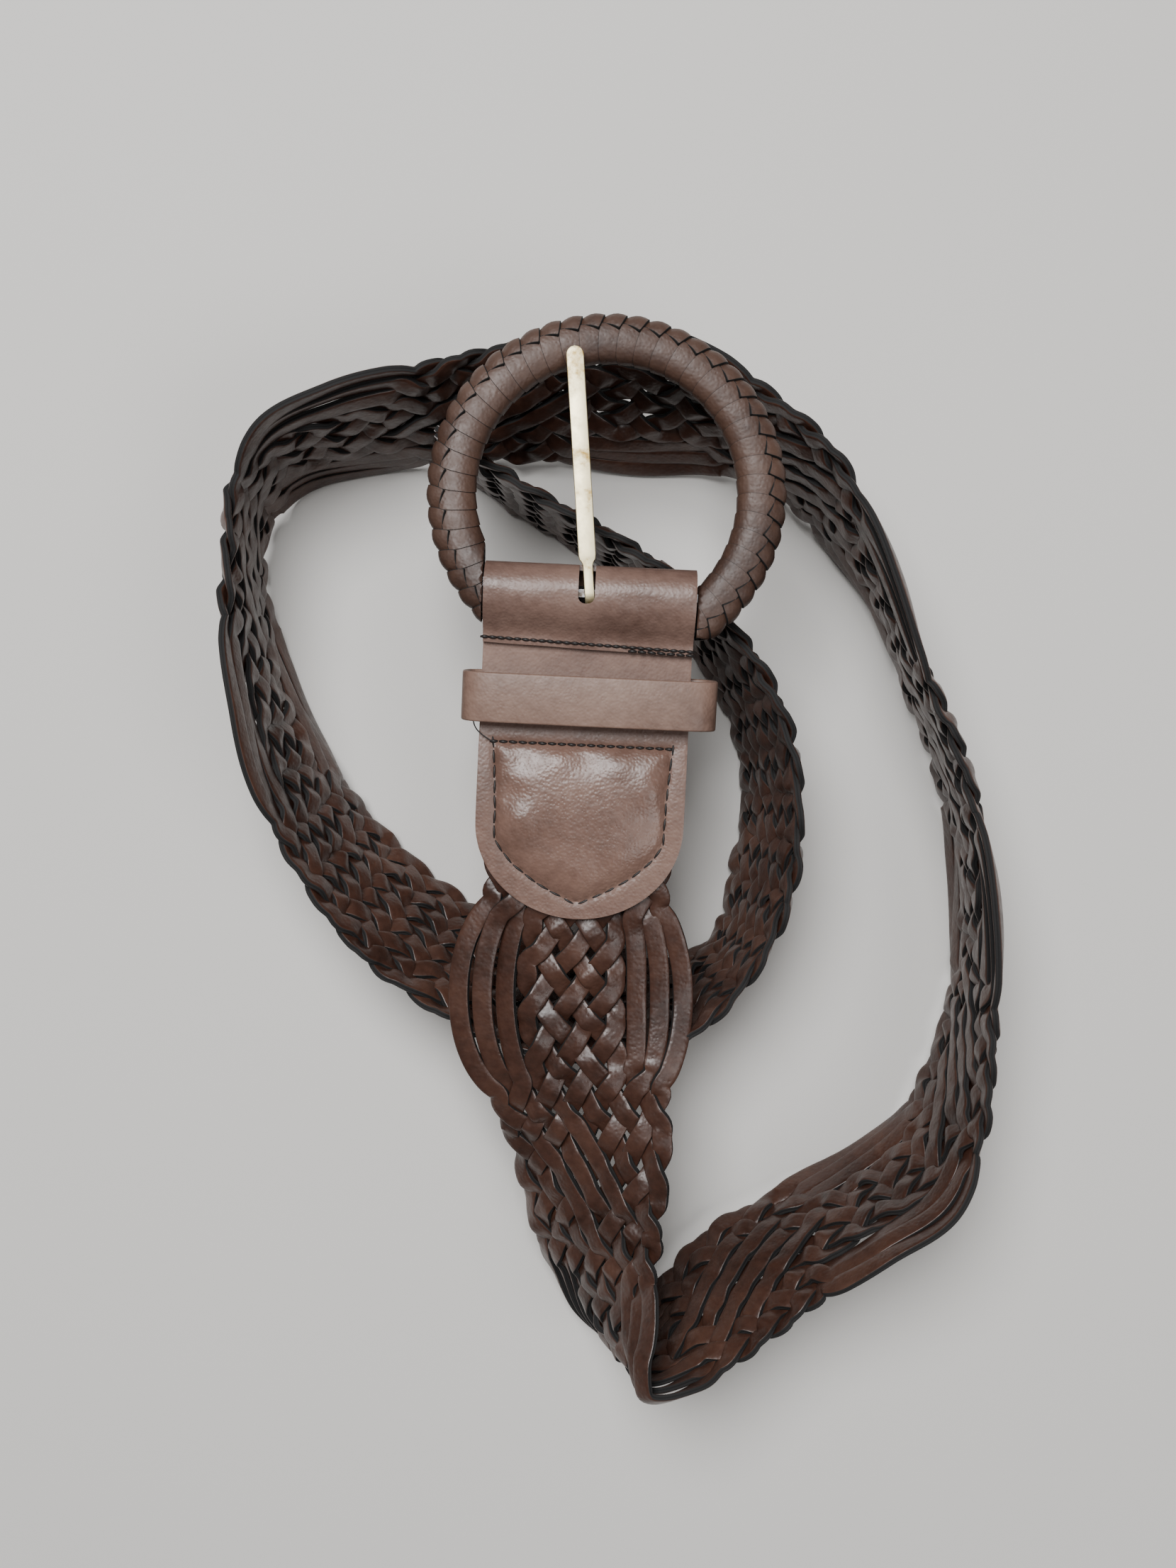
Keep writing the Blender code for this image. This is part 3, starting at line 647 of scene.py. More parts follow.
# %% Strand profile and tree
def strand_profile():
    """Cross-section of a strand: two plies glued back to back, edges cut square."""
    half = STRAND_WIDTH / 2
    thick = STRAND_THICK / 2
    quarter = [
        # across  up  cut_edge_and_overlap_shade
        (0.0, thick * 1.06, 0.0),
        (half * 0.55, thick * 1.03, 0.0),
        (half * 0.90, thick * 0.95, 0.0),
        (half * 0.97, thick * 0.82, 0.25),
        (half * 1.00, thick * 0.70, 0.60),
        (half * 1.00, thick * 0.22, 0.62),
        (half * 0.96, thick * 0.06, 1.0),
    ]
    right = quarter + [(x, -y, e) for x, y, e in reversed(quarter)]
    left = [(-x, y, e) for x, y, e in reversed(right[1:-1])]
    points = right + left
    mesh = bpy.data.meshes.new("strand_profile")
    edges = [(i, (i + 1) % len(points)) for i in range(len(points))]
    mesh.from_pydata([(up, across, 0.0) for across, up, _ in points], edges, [])
    mark = mesh.attributes.new("cut_edge_and_overlap_shade", "FLOAT", "POINT")
    mark.data.foreach_set("value", [e for _, _, e in points])
    return mesh


def strip_tree():
    """Sweeps a profile along a line whose points say where the strip's face looks."""
    tree, given, out = new_tree("strip_along_line", [
        ("Profile", "Object", None),
        ("Material", "Material", None),
    ])
    look = node(tree, "GeometryNodeInputNamedAttribute", {"data_type": "FLOAT_VECTOR",
                                                          "Name": "face_normal"})
    path = node(tree, "GeometryNodeMeshToCurve", links={0: given["Geometry"]})
    turned = node(tree, "GeometryNodeSetCurveNormal", {"mode": "FREE"},
                  {"Curve": path.outputs[0], "Normal": look.outputs[0]})
    shape = node(tree, "GeometryNodeObjectInfo", links={"Object": given["Profile"]})
    ring = node(tree, "GeometryNodeMeshToCurve", links={0: shape.outputs["Geometry"]})
    swept = node(tree, "GeometryNodeCurveToMesh", {"Fill Caps": True},
                 {"Curve": turned.outputs[0], "Profile Curve": ring.outputs[0]})
    smooth = node(tree, "GeometryNodeSetShadeSmooth", links={0: swept.outputs[0]})
    real = node(tree, "GeometryNodeRealizeInstances", links={0: smooth.outputs[0]})
    dressed = node(tree, "GeometryNodeSetMaterial", links={"Geometry": real.outputs[0],
                                                           "Material": given["Material"]})
    tree.links.new(dressed.outputs[0], out["Geometry"])
    return tree


STRIP_TREE = strip_tree()
PROFILE = helper("strand_profile", strand_profile())
CROSS_LIFT = STRAND_THICK * 0.60
FLOOR_GAP = 0.2 * MM
print("points round a strand", len(PROFILE.data.vertices))

# %% [markdown]
# Every strand gets its own line through its crossings. It rises a little over half its thickness
# where it lies on top and sinks as far where it lies below, and it is kept clear of the floor.

# %% Strands
def strand_line(rows):
    """Points and face directions of one strand in space."""
    at = FIRST_STEP_AT + rows[:, 0] * WEAVE_STEP
    middle, front, edge = frames_along(WAY_LINE, WAY_RUN, at)
    points = middle + edge * rows[:, 1:2] + front * rows[:, 2:3] * CROSS_LIFT
    lowest = STRAND_WIDTH / 2 * np.abs(edge[:, 2]) + STRAND_THICK / 2 * np.abs(front[:, 2])
    points[:, 2] = np.maximum(points[:, 2], lowest + FLOOR_GAP)
    tilt = np.radians(rows[:, 3:4])
    look = front * np.cos(tilt) + edge * np.sin(tilt)
    return points, look


STRAND_PIECES = []
for number, knots in enumerate(KNOTS):
    points, look = strand_line(smooth_between(fill_between(knots)))
    worker = put("strand_worker", line_mesh("strand_line", points, look))
    nodes_modifier(worker, STRIP_TREE, Profile=PROFILE, Material=STRAND_LEATHER)
    strand = plain_copy(worker, f"braid_strand_{number + 1:02d}")
    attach(strand, "belt")
    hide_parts("strap")
    STRAND_PIECES.append(strand)
print("strands", len(STRAND_PIECES), "triangles each about",
      sum(len(p.vertices) - 2 for p in STRAND_PIECES[0].data.polygons))

# %% [markdown]
# The ring is bound with one flat lace. On the inside it lies in plain turns, and on the outside
# every turn tucks under the next, so that rounded lobes overlap like roof tiles. Both are
# surfaces on a thick ring: one turn of each is drawn in terms of the angle along the ring and
# the angle round its section, and a node tree repeats it.

# %% Ring section
PITCH = math.radians(304) / PLAIT_TURNS
FIRST_TURN = math.radians(-61)
LAST_TURN = math.radians(232)
LACE_THICK = 1.1 * MM


def ring_point(turn, angle, out=0.0):
    """Point on the bound ring. turn runs along it, angle round its section from the outside."""
    wide = math.copysign(abs(math.cos(angle)) ** 0.85, math.cos(angle))
    high = math.copysign(abs(math.sin(angle)) ** 0.85, math.sin(angle))
    core_wide = SECTION_WIDE / 2 - 1.3 * MM + out
    core_high = SECTION_HIGH / 2 - 1.0 * MM + out
    r = RING_RADIUS + core_wide * wide
    return (r * math.cos(turn), r * math.sin(turn), core_high * high)


print("lace from", round(math.degrees(FIRST_TURN)), "to", round(math.degrees(LAST_TURN)), "degrees")

# %% [markdown]
# One inner turn and one outer lobe are thin closed shells, drawn once. A flat strip bent round the
# ring would do for the inner side, but the lobes need their own crest and tucked edge, so both
# are surfaces. Their cut edges are marked as the strands' are, and so are their undersides, which
# take the same near-black colour as painted shade where turns overlap.

# %% One turn of the lace
def shell_patch(name, count_u, count_v, point):
    """A closed thin shell: point(u, v, side) with side 1 on top and 0 below."""
    bm = bmesh.new()
    mark = bm.verts.layers.float.new("cut_edge_and_overlap_shade")
    us = [i / count_u for i in range(count_u)] + [0.975, 1.0]
    vs = [0.0, 0.02] + [j / count_v for j in range(1, count_v + 1)]
    count_u = len(us) - 1
    count_v = len(vs) - 1
    sheets = []
    for side in (1, 0):
        sheets.append([[bm.verts.new(point(u, v, side)) for v in vs] for u in us])
        for u, row in zip(us, sheets[-1]):
            for v, vert in zip(vs, row):
                # Edges and the whole underside are marked; the near-black underside is painted
                # shade where turns overlap.
                vert[mark] = 0.65 if v == 0 or u == 1 or side == 0 else 0.0
    top, low = sheets
    for i in range(count_u):
        for j in range(count_v):
            bm.faces.new((top[i][j], top[i + 1][j], top[i + 1][j + 1], top[i][j + 1]))
            bm.faces.new((low[i][j], low[i][j + 1], low[i + 1][j + 1], low[i + 1][j]))
    rim = [(i, 0) for i in range(count_u)] + [(count_u, j) for j in range(count_v)]
    rim += [(i, count_v) for i in range(count_u, 0, -1)] + [(0, j) for j in range(count_v, 0, -1)]
    for (a, b), (c, d) in zip(rim, rim[1:] + rim[:1]):
        bm.faces.new((top[a][b], low[a][b], low[c][d], top[c][d]))
    bmesh.ops.recalc_face_normals(bm, faces=bm.faces)
    mesh = bpy.data.meshes.new(name)
    bm.to_mesh(mesh)
    bm.free()
    return mesh


MEET_OUT = math.radians(50)
MEET_IN = math.radians(74)


def strip_point(u, v, side):
    """Inner turn: u from the hidden edge to the exposed one, v from the top inwards."""
    angle = math.radians(54 + 250 * v)
    arch = 0.22 * math.sin(math.pi * min(v / 0.55, 1.0))
    turn = PITCH * (-0.62 + 1.12 * u + arch * u)
    out = (0.05 + 0.42 * u + 0.10 * math.sin(math.pi * u)) * MM
    return ring_point(turn, angle, out - (1 - side) * LACE_THICK)


def lobe_point(u, v, side):
    """Outer lobe: u from under its neighbour to its own free edge, v from the top outwards."""
    meet = MEET_OUT + (MEET_IN - MEET_OUT) * min(max((u - 0.30) / 0.70, 0.0), 1.0)
    angle = meet - (meet + math.radians(75)) * v
    bulge = math.sin(math.pi * min(max(v, 0.0), 1.0)) ** 0.7
    turn = PITCH * (0.95 - (1.30 + 0.36 * bulge) * u)
    crest = math.sin(math.pi * u ** 1.4) * (0.25 + 0.75 * bulge)
    out = (-1.00 + 2.15 * u + 1.15 * crest) * MM
    return ring_point(turn, angle, out - (1 - side) * LACE_THICK)


STRIP_TURN = helper("inner_turn", shaded(shell_patch("inner_turn", 6, 16, strip_point), 50))
LOBE_TURN = helper("outer_lobe", shaded(shell_patch("outer_lobe", 8, 12, lobe_point), 50))
print("faces of an inner turn", len(STRIP_TURN.data.polygons), "of a lobe",
      len(LOBE_TURN.data.polygons))

# %% [markdown]
# A tree repeats each shell round the ring, one pitch after another, because copies placed by hand
# would drift. The lace is then cut off beside the leather fold, which the real ring goes into.

# %% Lace round the ring
def turns_tree():
    """Repeats an object round the Z axis: a line of points, each turned one pitch further."""
    tree, given, out = new_tree("turns_round_ring", [
        ("Unit", "Object", None),
        ("Count", "Int", 40),
        ("First", "Float", 0.0),
        ("Pitch", "Float", 0.1),
        ("Material", "Material", None),
    ])
    line = node(tree, "GeometryNodeMeshLine", {"Offset": (0.0, 0.0, 0.0)},
                {"Count": given["Count"]})
    index = node(tree, "GeometryNodeInputIndex")
    angle = node(tree, "ShaderNodeMath", {"operation": "MULTIPLY_ADD"},
                 {0: index.outputs[0], 1: given["Pitch"], 2: given["First"]})
    turn = node(tree, "ShaderNodeCombineXYZ", links={"Z": angle.outputs[0]})
    unit = node(tree, "GeometryNodeObjectInfo", links={"Object": given["Unit"]})
    spread = node(tree, "GeometryNodeInstanceOnPoints",
                  links={"Points": line.outputs[0], "Instance": unit.outputs["Geometry"],
                         "Rotation": turn.outputs[0]})
    real = node(tree, "GeometryNodeRealizeInstances", links={0: spread.outputs[0]})
    dressed = node(tree, "GeometryNodeSetMaterial", links={"Geometry": real.outputs[0],
                                                           "Material": given["Material"]})
    tree.links.new(dressed.outputs[0], out["Geometry"])
    return tree


TURNS_TREE = turns_tree()
WRAP_LEFT = TAB_ASIDE - TAB_WIDTH / 2 - 0.5 * MM
WRAP_RIGHT = TAB_ASIDE + TAB_WIDTH / 2 + 0.5 * MM


def trim_beside_tab(mesh):
    """Cuts the lace's ends square beside the leather fold and closes the cuts."""
    bm = bmesh.new()
    bm.from_mesh(mesh)
    ends = [("x", WRAP_LEFT), ("x", WRAP_RIGHT), ("y", -BAR_OFFSET - 9.6 * MM)]
    for axis, place in ends:
        near = BAR_OFFSET * 0.35
        if axis == "x":
            faces = [f for f in bm.faces if all(v.co.y < -near and v.co.x * place > 0
                                                for v in f.verts)]
            where = (place, 0, 0)
            away = (-math.copysign(1, place), 0, 0)
        else:
            faces = [f for f in bm.faces if all(v.co.y < -near for v in f.verts)]
            where = (0, place, 0)
            away = (0, -1, 0)
        touched = list({v for f in faces for v in f.verts})
        touched += list({e for f in faces for e in f.edges})
        bmesh.ops.bisect_plane(bm, geom=touched + faces, plane_co=where, plane_no=away,
                               clear_outer=True)
        open_edges = [e for e in bm.edges if e.is_boundary]
        bmesh.ops.holes_fill(bm, edges=open_edges, sides=0)
    bm.to_mesh(mesh)
    bm.free()
    return mesh


def lace_piece(name, unit, mat):
    worker = put(name + "_worker", bpy.data.meshes.new(name + "_worker"))
    count = int((LAST_TURN - FIRST_TURN) / PITCH) + 1
    nodes_modifier(worker, TURNS_TREE, Unit=unit, Count=count, First=FIRST_TURN, Pitch=PITCH,
                   Material=mat)
    made = plain_copy(worker, name)
    trim_beside_tab(made.data)
    made.data.transform(Matrix.Translation(RING_CENTRE))
    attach(made, "ring")
    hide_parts("ring_wrap")
    return made


lace_piece("ring_lace_inner_turns", STRIP_TURN, LACING_LEATHER)
lace_piece("ring_lace_outer_lobes", LOBE_TURN, LACING_LEATHER)
print("lace turns", int((LAST_TURN - FIRST_TURN) / PITCH) + 1, "pitch in degrees",
      round(math.degrees(PITCH), 2))

# %% [markdown]
# Under the lace lies a wound core that rounds out the wire. It is seen only in the cracks between
# the turns, so a plain tube along the ring is enough. Its near-black colour is painted shade there.

# %% Core under the lace
CORE_SIDES = 18
CORE_SUNK = -0.45 * MM


def ring_core():
    """Core seen in the cracks between turns, near black as painted shade."""
    rows = []
    count = 120
    for i in range(count + 1):
        turn = FIRST_TURN + (LAST_TURN - FIRST_TURN) * i / count
        rows.append([ring_point(turn, math.radians(k * 360 / CORE_SIDES), CORE_SUNK)
                     for k in range(CORE_SIDES)])
    mesh = closed_up(grid_mesh("ring_core", rows, closed=True))
    core = put("ring_core_padding", shaded(mesh), CORE_CRACK_SHADE)
    trim_beside_tab(mesh)
    mesh.transform(Matrix.Translation(RING_CENTRE))
    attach(core, "ring")
    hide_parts("ring_wrap")


ring_core()
print("core under the lace, sides", CORE_SIDES)

# %% [markdown]
# The tab is two sheets of leather. The back one folds over the buckle's bar and is stitched down
# on the front one. Each sheet is a fine grid, so that the padded panel, the grooves that thread
# pulls in and the small dents can be given as heights.

# %% Tab: sheets
LEVEL_BACK = -STRAP_THICK / 2 - 0.3 * MM - LEATHER / 2
FOLD_DEPTH = 5.6 * MM + LEATHER / 2
FOLD_RISE = 5.4 * MM + LEATHER / 2
LEVEL_FOLD_END = LEVEL_BACK + 2 * (LEATHER + 0.3 * MM)
SEAM_SLOPE = math.tan(math.radians(1.65))
TAB_SIDE_END = TAB_LENGTH - TAB_WIDTH / 2 * 0.92


def tab_half(along):
    """Half width of the tab at a distance from the bar."""
    if along <= TAB_SIDE_END:
        return TAB_WIDTH / 2
    share = min((along - TAB_SIDE_END) / (TAB_LENGTH - TAB_SIDE_END), 1.0)
    return TAB_WIDTH / 2 * math.sqrt(max(1 - share ** 2, 0.0))


def end_rows(count):
    """Distances that close in on the rounded end."""
    return [TAB_SIDE_END + (TAB_LENGTH - TAB_SIDE_END) * math.sin(math.radians(89) * i / count)
            for i in range(1, count + 1)]


def thick_sheet(name, rows, thickness, mat, round_by=0.3 * MM):
    """A sheet with thickness and softened edges from rows of points on its middle."""
    mesh = grid_mesh(name, rows)
    bm = bmesh.new()
    bm.from_mesh(mesh)
    bmesh.ops.recalc_face_normals(bm, faces=bm.faces)
    bm.to_mesh(mesh)
    bm.free()
    worker = put(name + "_worker", mesh)
    solid = worker.modifiers.new("thickness", "SOLIDIFY")
    solid.thickness = thickness
    solid.offset = 0.0
    soft = worker.modifiers.new("soft_edge", "BEVEL")
    soft.width = round_by
    soft.segments = 2
    soft.limit_method = "ANGLE"
    soft.angle_limit = math.radians(55)
    made = plain_copy(worker, name)
    made.data.materials.clear()
    made.data.materials.append(mat)
    shaded(made.data, 55)
    return made


# %% [markdown]
# The back sheet starts at its seam on the front, goes over the bar and runs on underneath. Its
# section is a row of points along and above the tab, with a half ellipse round the bar. A slot
# for the prong is cut through the fold. It is long enough behind the bar for the prong's whole
# swing, and its corners are rounded as a punch leaves them.

# %% Tab: back sheet over the bar
PRONG_OVER = math.radians(6.2)
PRONG_ASIDE = -3 * MM
SLOT_WIDTH = 4.0 * MM
SLOT_BACK = 3.0 * MM
SLOT_LENGTH = 14 * MM


def fold_section():
    """Middle line of the back sheet: from the first seam over the bar and down to the end."""
    top = [(1.10, 0.00), (0.94, 0.02), (0.82, 0.10), (0.66, 0.38), (0.50, 0.66), (0.34, 0.87),
           (0.18, 0.98)]
    under = [(0.20, 0.98), (0.45, 0.85), (0.70, 0.42), (0.90, 0.08), (1.30, 0.00)]
    line = [(SEAM_FROM_BAR * a, LEVEL_FOLD_END + (FOLD_RISE - LEVEL_FOLD_END) * r) for a, r in top]
    for i in range(25):
        turn = math.radians(90 - i * 7.5)
        line.append((-math.cos(turn) * FOLD_DEPTH, math.sin(turn) * FOLD_RISE))
    line += [(SEAM_FROM_BAR * a, LEVEL_BACK - (FOLD_RISE + LEVEL_BACK) * r) for a, r in under]
    start = SEAM_FROM_BAR * under[-1][0]
    for i in range(1, 7):
        line.append((start + (TAB_SIDE_END - start) * i / 6, LEVEL_BACK))
    return line + [(along, LEVEL_BACK) for along in end_rows(14)]


def build_tab_back():
    rows = []
    places = np.linspace(-1, 1, 41)
    for i, (along, normal) in enumerate(fold_section()):
        half = tab_half(along)
        row = []
        for share in places:
            across = share * half
            slip = SEAM_SLOPE * across if i < 4 else SEAM_SLOPE * across * max(0, 1 - (i - 3) / 5)
            wave = 0.12 * MM * math.sin(share * 9 + i) if i < 8 else 0.0
            row.append(tab_point(along + slip, normal + wave, across))
        rows.append(row)
    made = thick_sheet("tab_fold_and_back", rows, LEATHER, TAB_LEATHER)
    middle = PRONG_ASIDE - math.sin(PRONG_OVER) * FOLD_DEPTH
    box = bpy.data.meshes.new("slot_cut")
    bm = bmesh.new()
    bmesh.ops.create_cube(bm, size=1.0)
    bmesh.ops.scale(bm, vec=(SLOT_WIDTH, SLOT_LENGTH, 20 * MM), verts=bm.verts)
    bmesh.ops.bevel(bm, geom=[e for e in bm.edges if abs(e.verts[0].co.z - e.verts[1].co.z) > MM],
                    offset=SLOT_WIDTH * 0.42, segments=4, profile=0.5, affect="EDGES")
    bmesh.ops.translate(bm, vec=BAR + Vector((middle, SLOT_LENGTH / 2 - SLOT_BACK, 10.7 * MM)),
                        verts=bm.verts)
    bm.to_mesh(box)
    bm.free()
    cutter = helper("slot_cut", box)
    mod = made.modifiers.new("slot", "BOOLEAN")
    mod.operation = "DIFFERENCE"
    mod.solver = "EXACT"
    mod.object = cutter
    made = plain_copy(made, "tab_fold_and_back_slotted")
    bpy.data.objects.remove(cutter)
    shaded(made.data, 55)
    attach(made, "belt")
    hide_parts("tab_back")


build_tab_back()
print("tab, mm", round(TAB_WIDTH / MM, 1), "x", round(TAB_LENGTH / MM, 1))

# %% [markdown]
# The panel is stuffed behind its stitched line. A distance from the line gives the height: a
# shallow groove on the line, a quick rise inside it and a flat border outside.

# %% Tab: padded panel
PANEL_TOP = 36.6 * MM
PANEL_STRAIGHT_TO = 59 * MM
PANEL_TIP = 75.3 * MM
PANEL_HALF = 20.8 * MM
DENTS = [
    # across  along  size  depth (mm)
    (-15.0, 41.5, 3.0, -0.55),
    (-6.0, 40.0, 3.0, 0.40),
    (1.0, 40.5, 2.8, -0.35),
    (9.0, 41.0, 3.2, 0.35),
    (-17.0, 49.5, 4.0, -0.50),
    (-14.5, 55.0, 3.8, 0.65),
    (17.5, 47.0, 4.2, 0.60),
    (15.5, 54.0, 4.5, -0.45),
    (-9.0, 62.0, 5.0, -0.30),
    (10.0, 63.5, 5.0, 0.35),
    (-17.5, 61.0, 3.0, 0.40),
    (2.0, 69.5, 4.5, 0.35),
]


def panel_half(along):
    """Half width of the stitched line at a distance from the bar, 0 past its ends."""
    if along < PANEL_TOP or along > PANEL_TIP:
        return 0.0
    if along <= PANEL_STRAIGHT_TO:
        flare = (PANEL_STRAIGHT_TO - along) / (PANEL_STRAIGHT_TO - PANEL_TOP)
        return PANEL_HALF + 1.2 * MM * flare ** 2
    share = (along - PANEL_STRAIGHT_TO) / (PANEL_TIP - PANEL_STRAIGHT_TO)
    return PANEL_HALF * max(1 - share ** 1.6, 0.0) ** 0.8


def panel_line(step=0.5 * MM):
    """The stitched line from its top left corner round the tip and back, as (across, along)."""
    left = []
    for along in np.arange(PANEL_TOP, PANEL_TIP, step):
        left.append((-panel_half(along), along))
    for share in np.linspace(0.2, 0.0, 6)[1:]:
        left.append((-PANEL_HALF * share * 0.5, PANEL_TIP - share * 0.2 * MM))
    right = [(-x, a) for x, a in reversed(left[:-1])]
    return left + right


PANEL_OUTLINE = np.array(panel_line())
print("points on the panel's stitched line", len(PANEL_OUTLINE))


def panel_relief(across, along):
    """Height over the flat sheet: padding, groove, dents and small pulls at the stitches."""
    gap = np.hypot(PANEL_OUTLINE[:, 0] - across, PANEL_OUTLINE[:, 1] - along).min()
    inside = PANEL_TOP < along < PANEL_TIP and abs(across) < panel_half(along)
    from_top = along - PANEL_TOP
    if abs(across) < PANEL_HALF + 1.2 * MM:
        gap = min(gap, abs(from_top))
    groove = -0.55 * MM * math.exp(-(gap / (0.9 * MM)) ** 2)
    if not inside:
        return groove * (0.5 if from_top > -2 * MM else 0.0)
    rise = 1.9 * MM * (1 - math.exp(-(gap / (3.6 * MM)) ** 1.4))
    dent = 0.0
    for x, a, size, depth in DENTS:
        away = ((across - x * MM) ** 2 + (along - a * MM) ** 2) / (size * MM) ** 2
        dent += depth * MM * math.exp(-away)
    return groove + rise + dent * min(gap / (3 * MM), 1.0)


# %% [markdown]
# The front sheet climbs from the bar onto the strap, with the panel's heights on top. It is given
# thickness afterwards. Above the keeper the leather isn't stretched, so each point also stores how
# dull it is, and the material reads that.

# %% Tab: front sheet
def front_level(along):
    low = -STRAP_THICK / 2 + LEATHER / 2
    high = STRAP_THICK / 2 + 0.3 * MM + LEATHER / 2
    end = TAB_LENGTH - TAB_EMBED - 6 * MM
    t = min(max((along - SEAM_FROM_BAR) / (end - SEAM_FROM_BAR), 0.0), 1.0)
    return low + (high - low) * t * t * (3 - 2 * t)


def build_tab_front():
    start = SEAM_FROM_BAR * 0.72
    straight = np.arange(start, TAB_SIDE_END, 0.7 * MM)
    rows = []
    for along in list(straight) + end_rows(26):
        half = tab_half(along)
        row = []
        for share in np.linspace(-1, 1, 73):
            across = share * half
            bend = 0.25 * MM * math.sin(across / (9 * MM) + 0.6) * min(along / TAB_LENGTH, 1.0)
            height = front_level(along) + panel_relief(across, along) + bend * 0.5
            row.append(tab_point(along, height, across))
        rows.append(row)
    made = thick_sheet("tab_front_sheet", rows, LEATHER, PANEL_LEATHER)
    dull = made.data.attributes.new("dull", "FLOAT", "POINT")
    for vert in made.data.vertices:
        across = vert.co.x - BAR.x - TAB_ASIDE
        along = (BAR.y - vert.co.y) / math.cos(TAB_TILT)
        inside = PANEL_TOP < along < PANEL_TIP and abs(across) < panel_half(along)
        above = min(max((PANEL_TOP - 3 * MM - along) / (4 * MM), 0.0), 1.0)
        dull.data[vert.index].value = 0.0 if inside else 0.35 + 0.65 * above
    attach(made, "belt")
    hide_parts("tab_front")


build_tab_front()
print("dents in the panel", len(DENTS))

# %% [markdown]
# Thread lies on the leather in short lengths, each dipping into its needle holes. One stitch is
# a small bent capsule, and a tree repeats it along every sewn line.

# %% Stitches
def stitch_mesh(length, thick):
    """One stitch along X, arched in the middle, with its ends going down into the leather."""
    rings = 9
    rows = []
    for i in range(rings):
        t = i / (rings - 1)
        x = (t - 0.5) * length
        z = thick * (0.55 * math.sin(math.pi * t) - 0.25)
        r = thick / 2 * (0.55 + 0.45 * math.sin(math.pi * t))
        rows.append([(x, r * math.cos(a), z + r * math.sin(a))
                     for a in [math.tau * k / 8 for k in range(8)]])
    return shaded(closed_up(grid_mesh("stitch", rows, closed=True)))


def stitches_tree():
    """Repeats a stitch along a line that lies on the leather."""
    tree, given, out = new_tree("stitches_along_line", [
        ("Stitch", "Object", None),
        ("Spacing", "Float", 0.003),
        ("Jitter", "Float", 0.08),
        ("Material", "Material", None),
    ])
    path = node(tree, "GeometryNodeMeshToCurve", links={0: given["Geometry"]})
    points = node(tree, "GeometryNodeCurveToPoints", {"mode": "LENGTH"},
                  {"Curve": path.outputs[0], "Length": given["Spacing"]})
    turn = node(tree, "FunctionNodeAlignRotationToVector", {"axis": "X"},
                {"Vector": points.outputs["Tangent"]})
    low = node(tree, "ShaderNodeMath", {"operation": "MULTIPLY", 1: -1.0}, {0: given["Jitter"]})
    wander = node(tree, "FunctionNodeRandomValue", {"data_type": "FLOAT", "Seed": 7},
                  {2: low.outputs[0], 3: given["Jitter"]})
    yaw = node(tree, "ShaderNodeCombineXYZ", links={"Z": wander.outputs[1]})
    spin = node(tree, "FunctionNodeEulerToRotation", links={0: yaw.outputs[0]})
    both = node(tree, "FunctionNodeRotateRotation", {"rotation_space": "LOCAL"},
                {0: turn.outputs[0], 1: spin.outputs[0]})
    unit = node(tree, "GeometryNodeObjectInfo", links={"Object": given["Stitch"]})
    spread = node(tree, "GeometryNodeInstanceOnPoints",
                  links={"Points": points.outputs[0], "Instance": unit.outputs["Geometry"],
                         "Rotation": both.outputs[0]})
    real = node(tree, "GeometryNodeRealizeInstances", links={0: spread.outputs[0]})
    dressed = node(tree, "GeometryNodeSetMaterial", links={"Geometry": real.outputs[0],
                                                           "Material": given["Material"]})
    tree.links.new(dressed.outputs[0], out["Geometry"])
    return tree


STITCHES_TREE = stitches_tree()
LONG_STITCH = helper("long_stitch", stitch_mesh(3.2 * MM, 0.55 * MM))
SHORT_STITCH = helper("short_stitch", stitch_mesh(2.1 * MM, 0.8 * MM))


def front_skin(across, along):
    """A point on top of the front sheet."""
    height = front_level(along) + panel_relief(across, along) + LEATHER / 2
    return tab_point(along, height, across)


def sew(name, points, stitch, spacing):
    worker = put(name + "_worker", line_mesh(name, points, [(0, 0, 1)] * len(points)))
    nodes_modifier(worker, STITCHES_TREE, Stitch=stitch, Spacing=spacing, Material=THREAD)
    made = plain_copy(worker, name)
    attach(made, "belt")
    return made


shield = [front_skin(x, a) for x, a in panel_line(1.0 * MM)]
top_line = [front_skin(x, PANEL_TOP) for x in np.arange(-21.9, 22.1, 1.0) * MM]
fold_line = []
for x in np.arange(-TAB_WIDTH / 2 + 0.4 * MM, TAB_WIDTH / 2 - 0.3 * MM, 1.0 * MM):
    along = SEAM_FROM_BAR + SEAM_SLOPE * x
    fold_line.append(tab_point(along, LEVEL_FOLD_END + LEATHER / 2 + 0.15 * MM, x))
sewn = [
    sew("stitches_panel_sides", shield, LONG_STITCH, 3.6 * MM),
    sew("stitches_panel_top", top_line, SHORT_STITCH, 2.3 * MM),
    sew("stitches_fold", fold_line, SHORT_STITCH, 2.0 * MM),
    sew("stitches_fold_return", [p + Vector((0, -0.9 * MM, 0)) for p in fold_line[36:]],
        SHORT_STITCH, 2.2 * MM),
]
print("sewn lines", len(sewn))

# %% [markdown]
# At a corner of the panel one thread was never trimmed. It is a short round curve that curls off
# the leather, made a mesh like the rest.

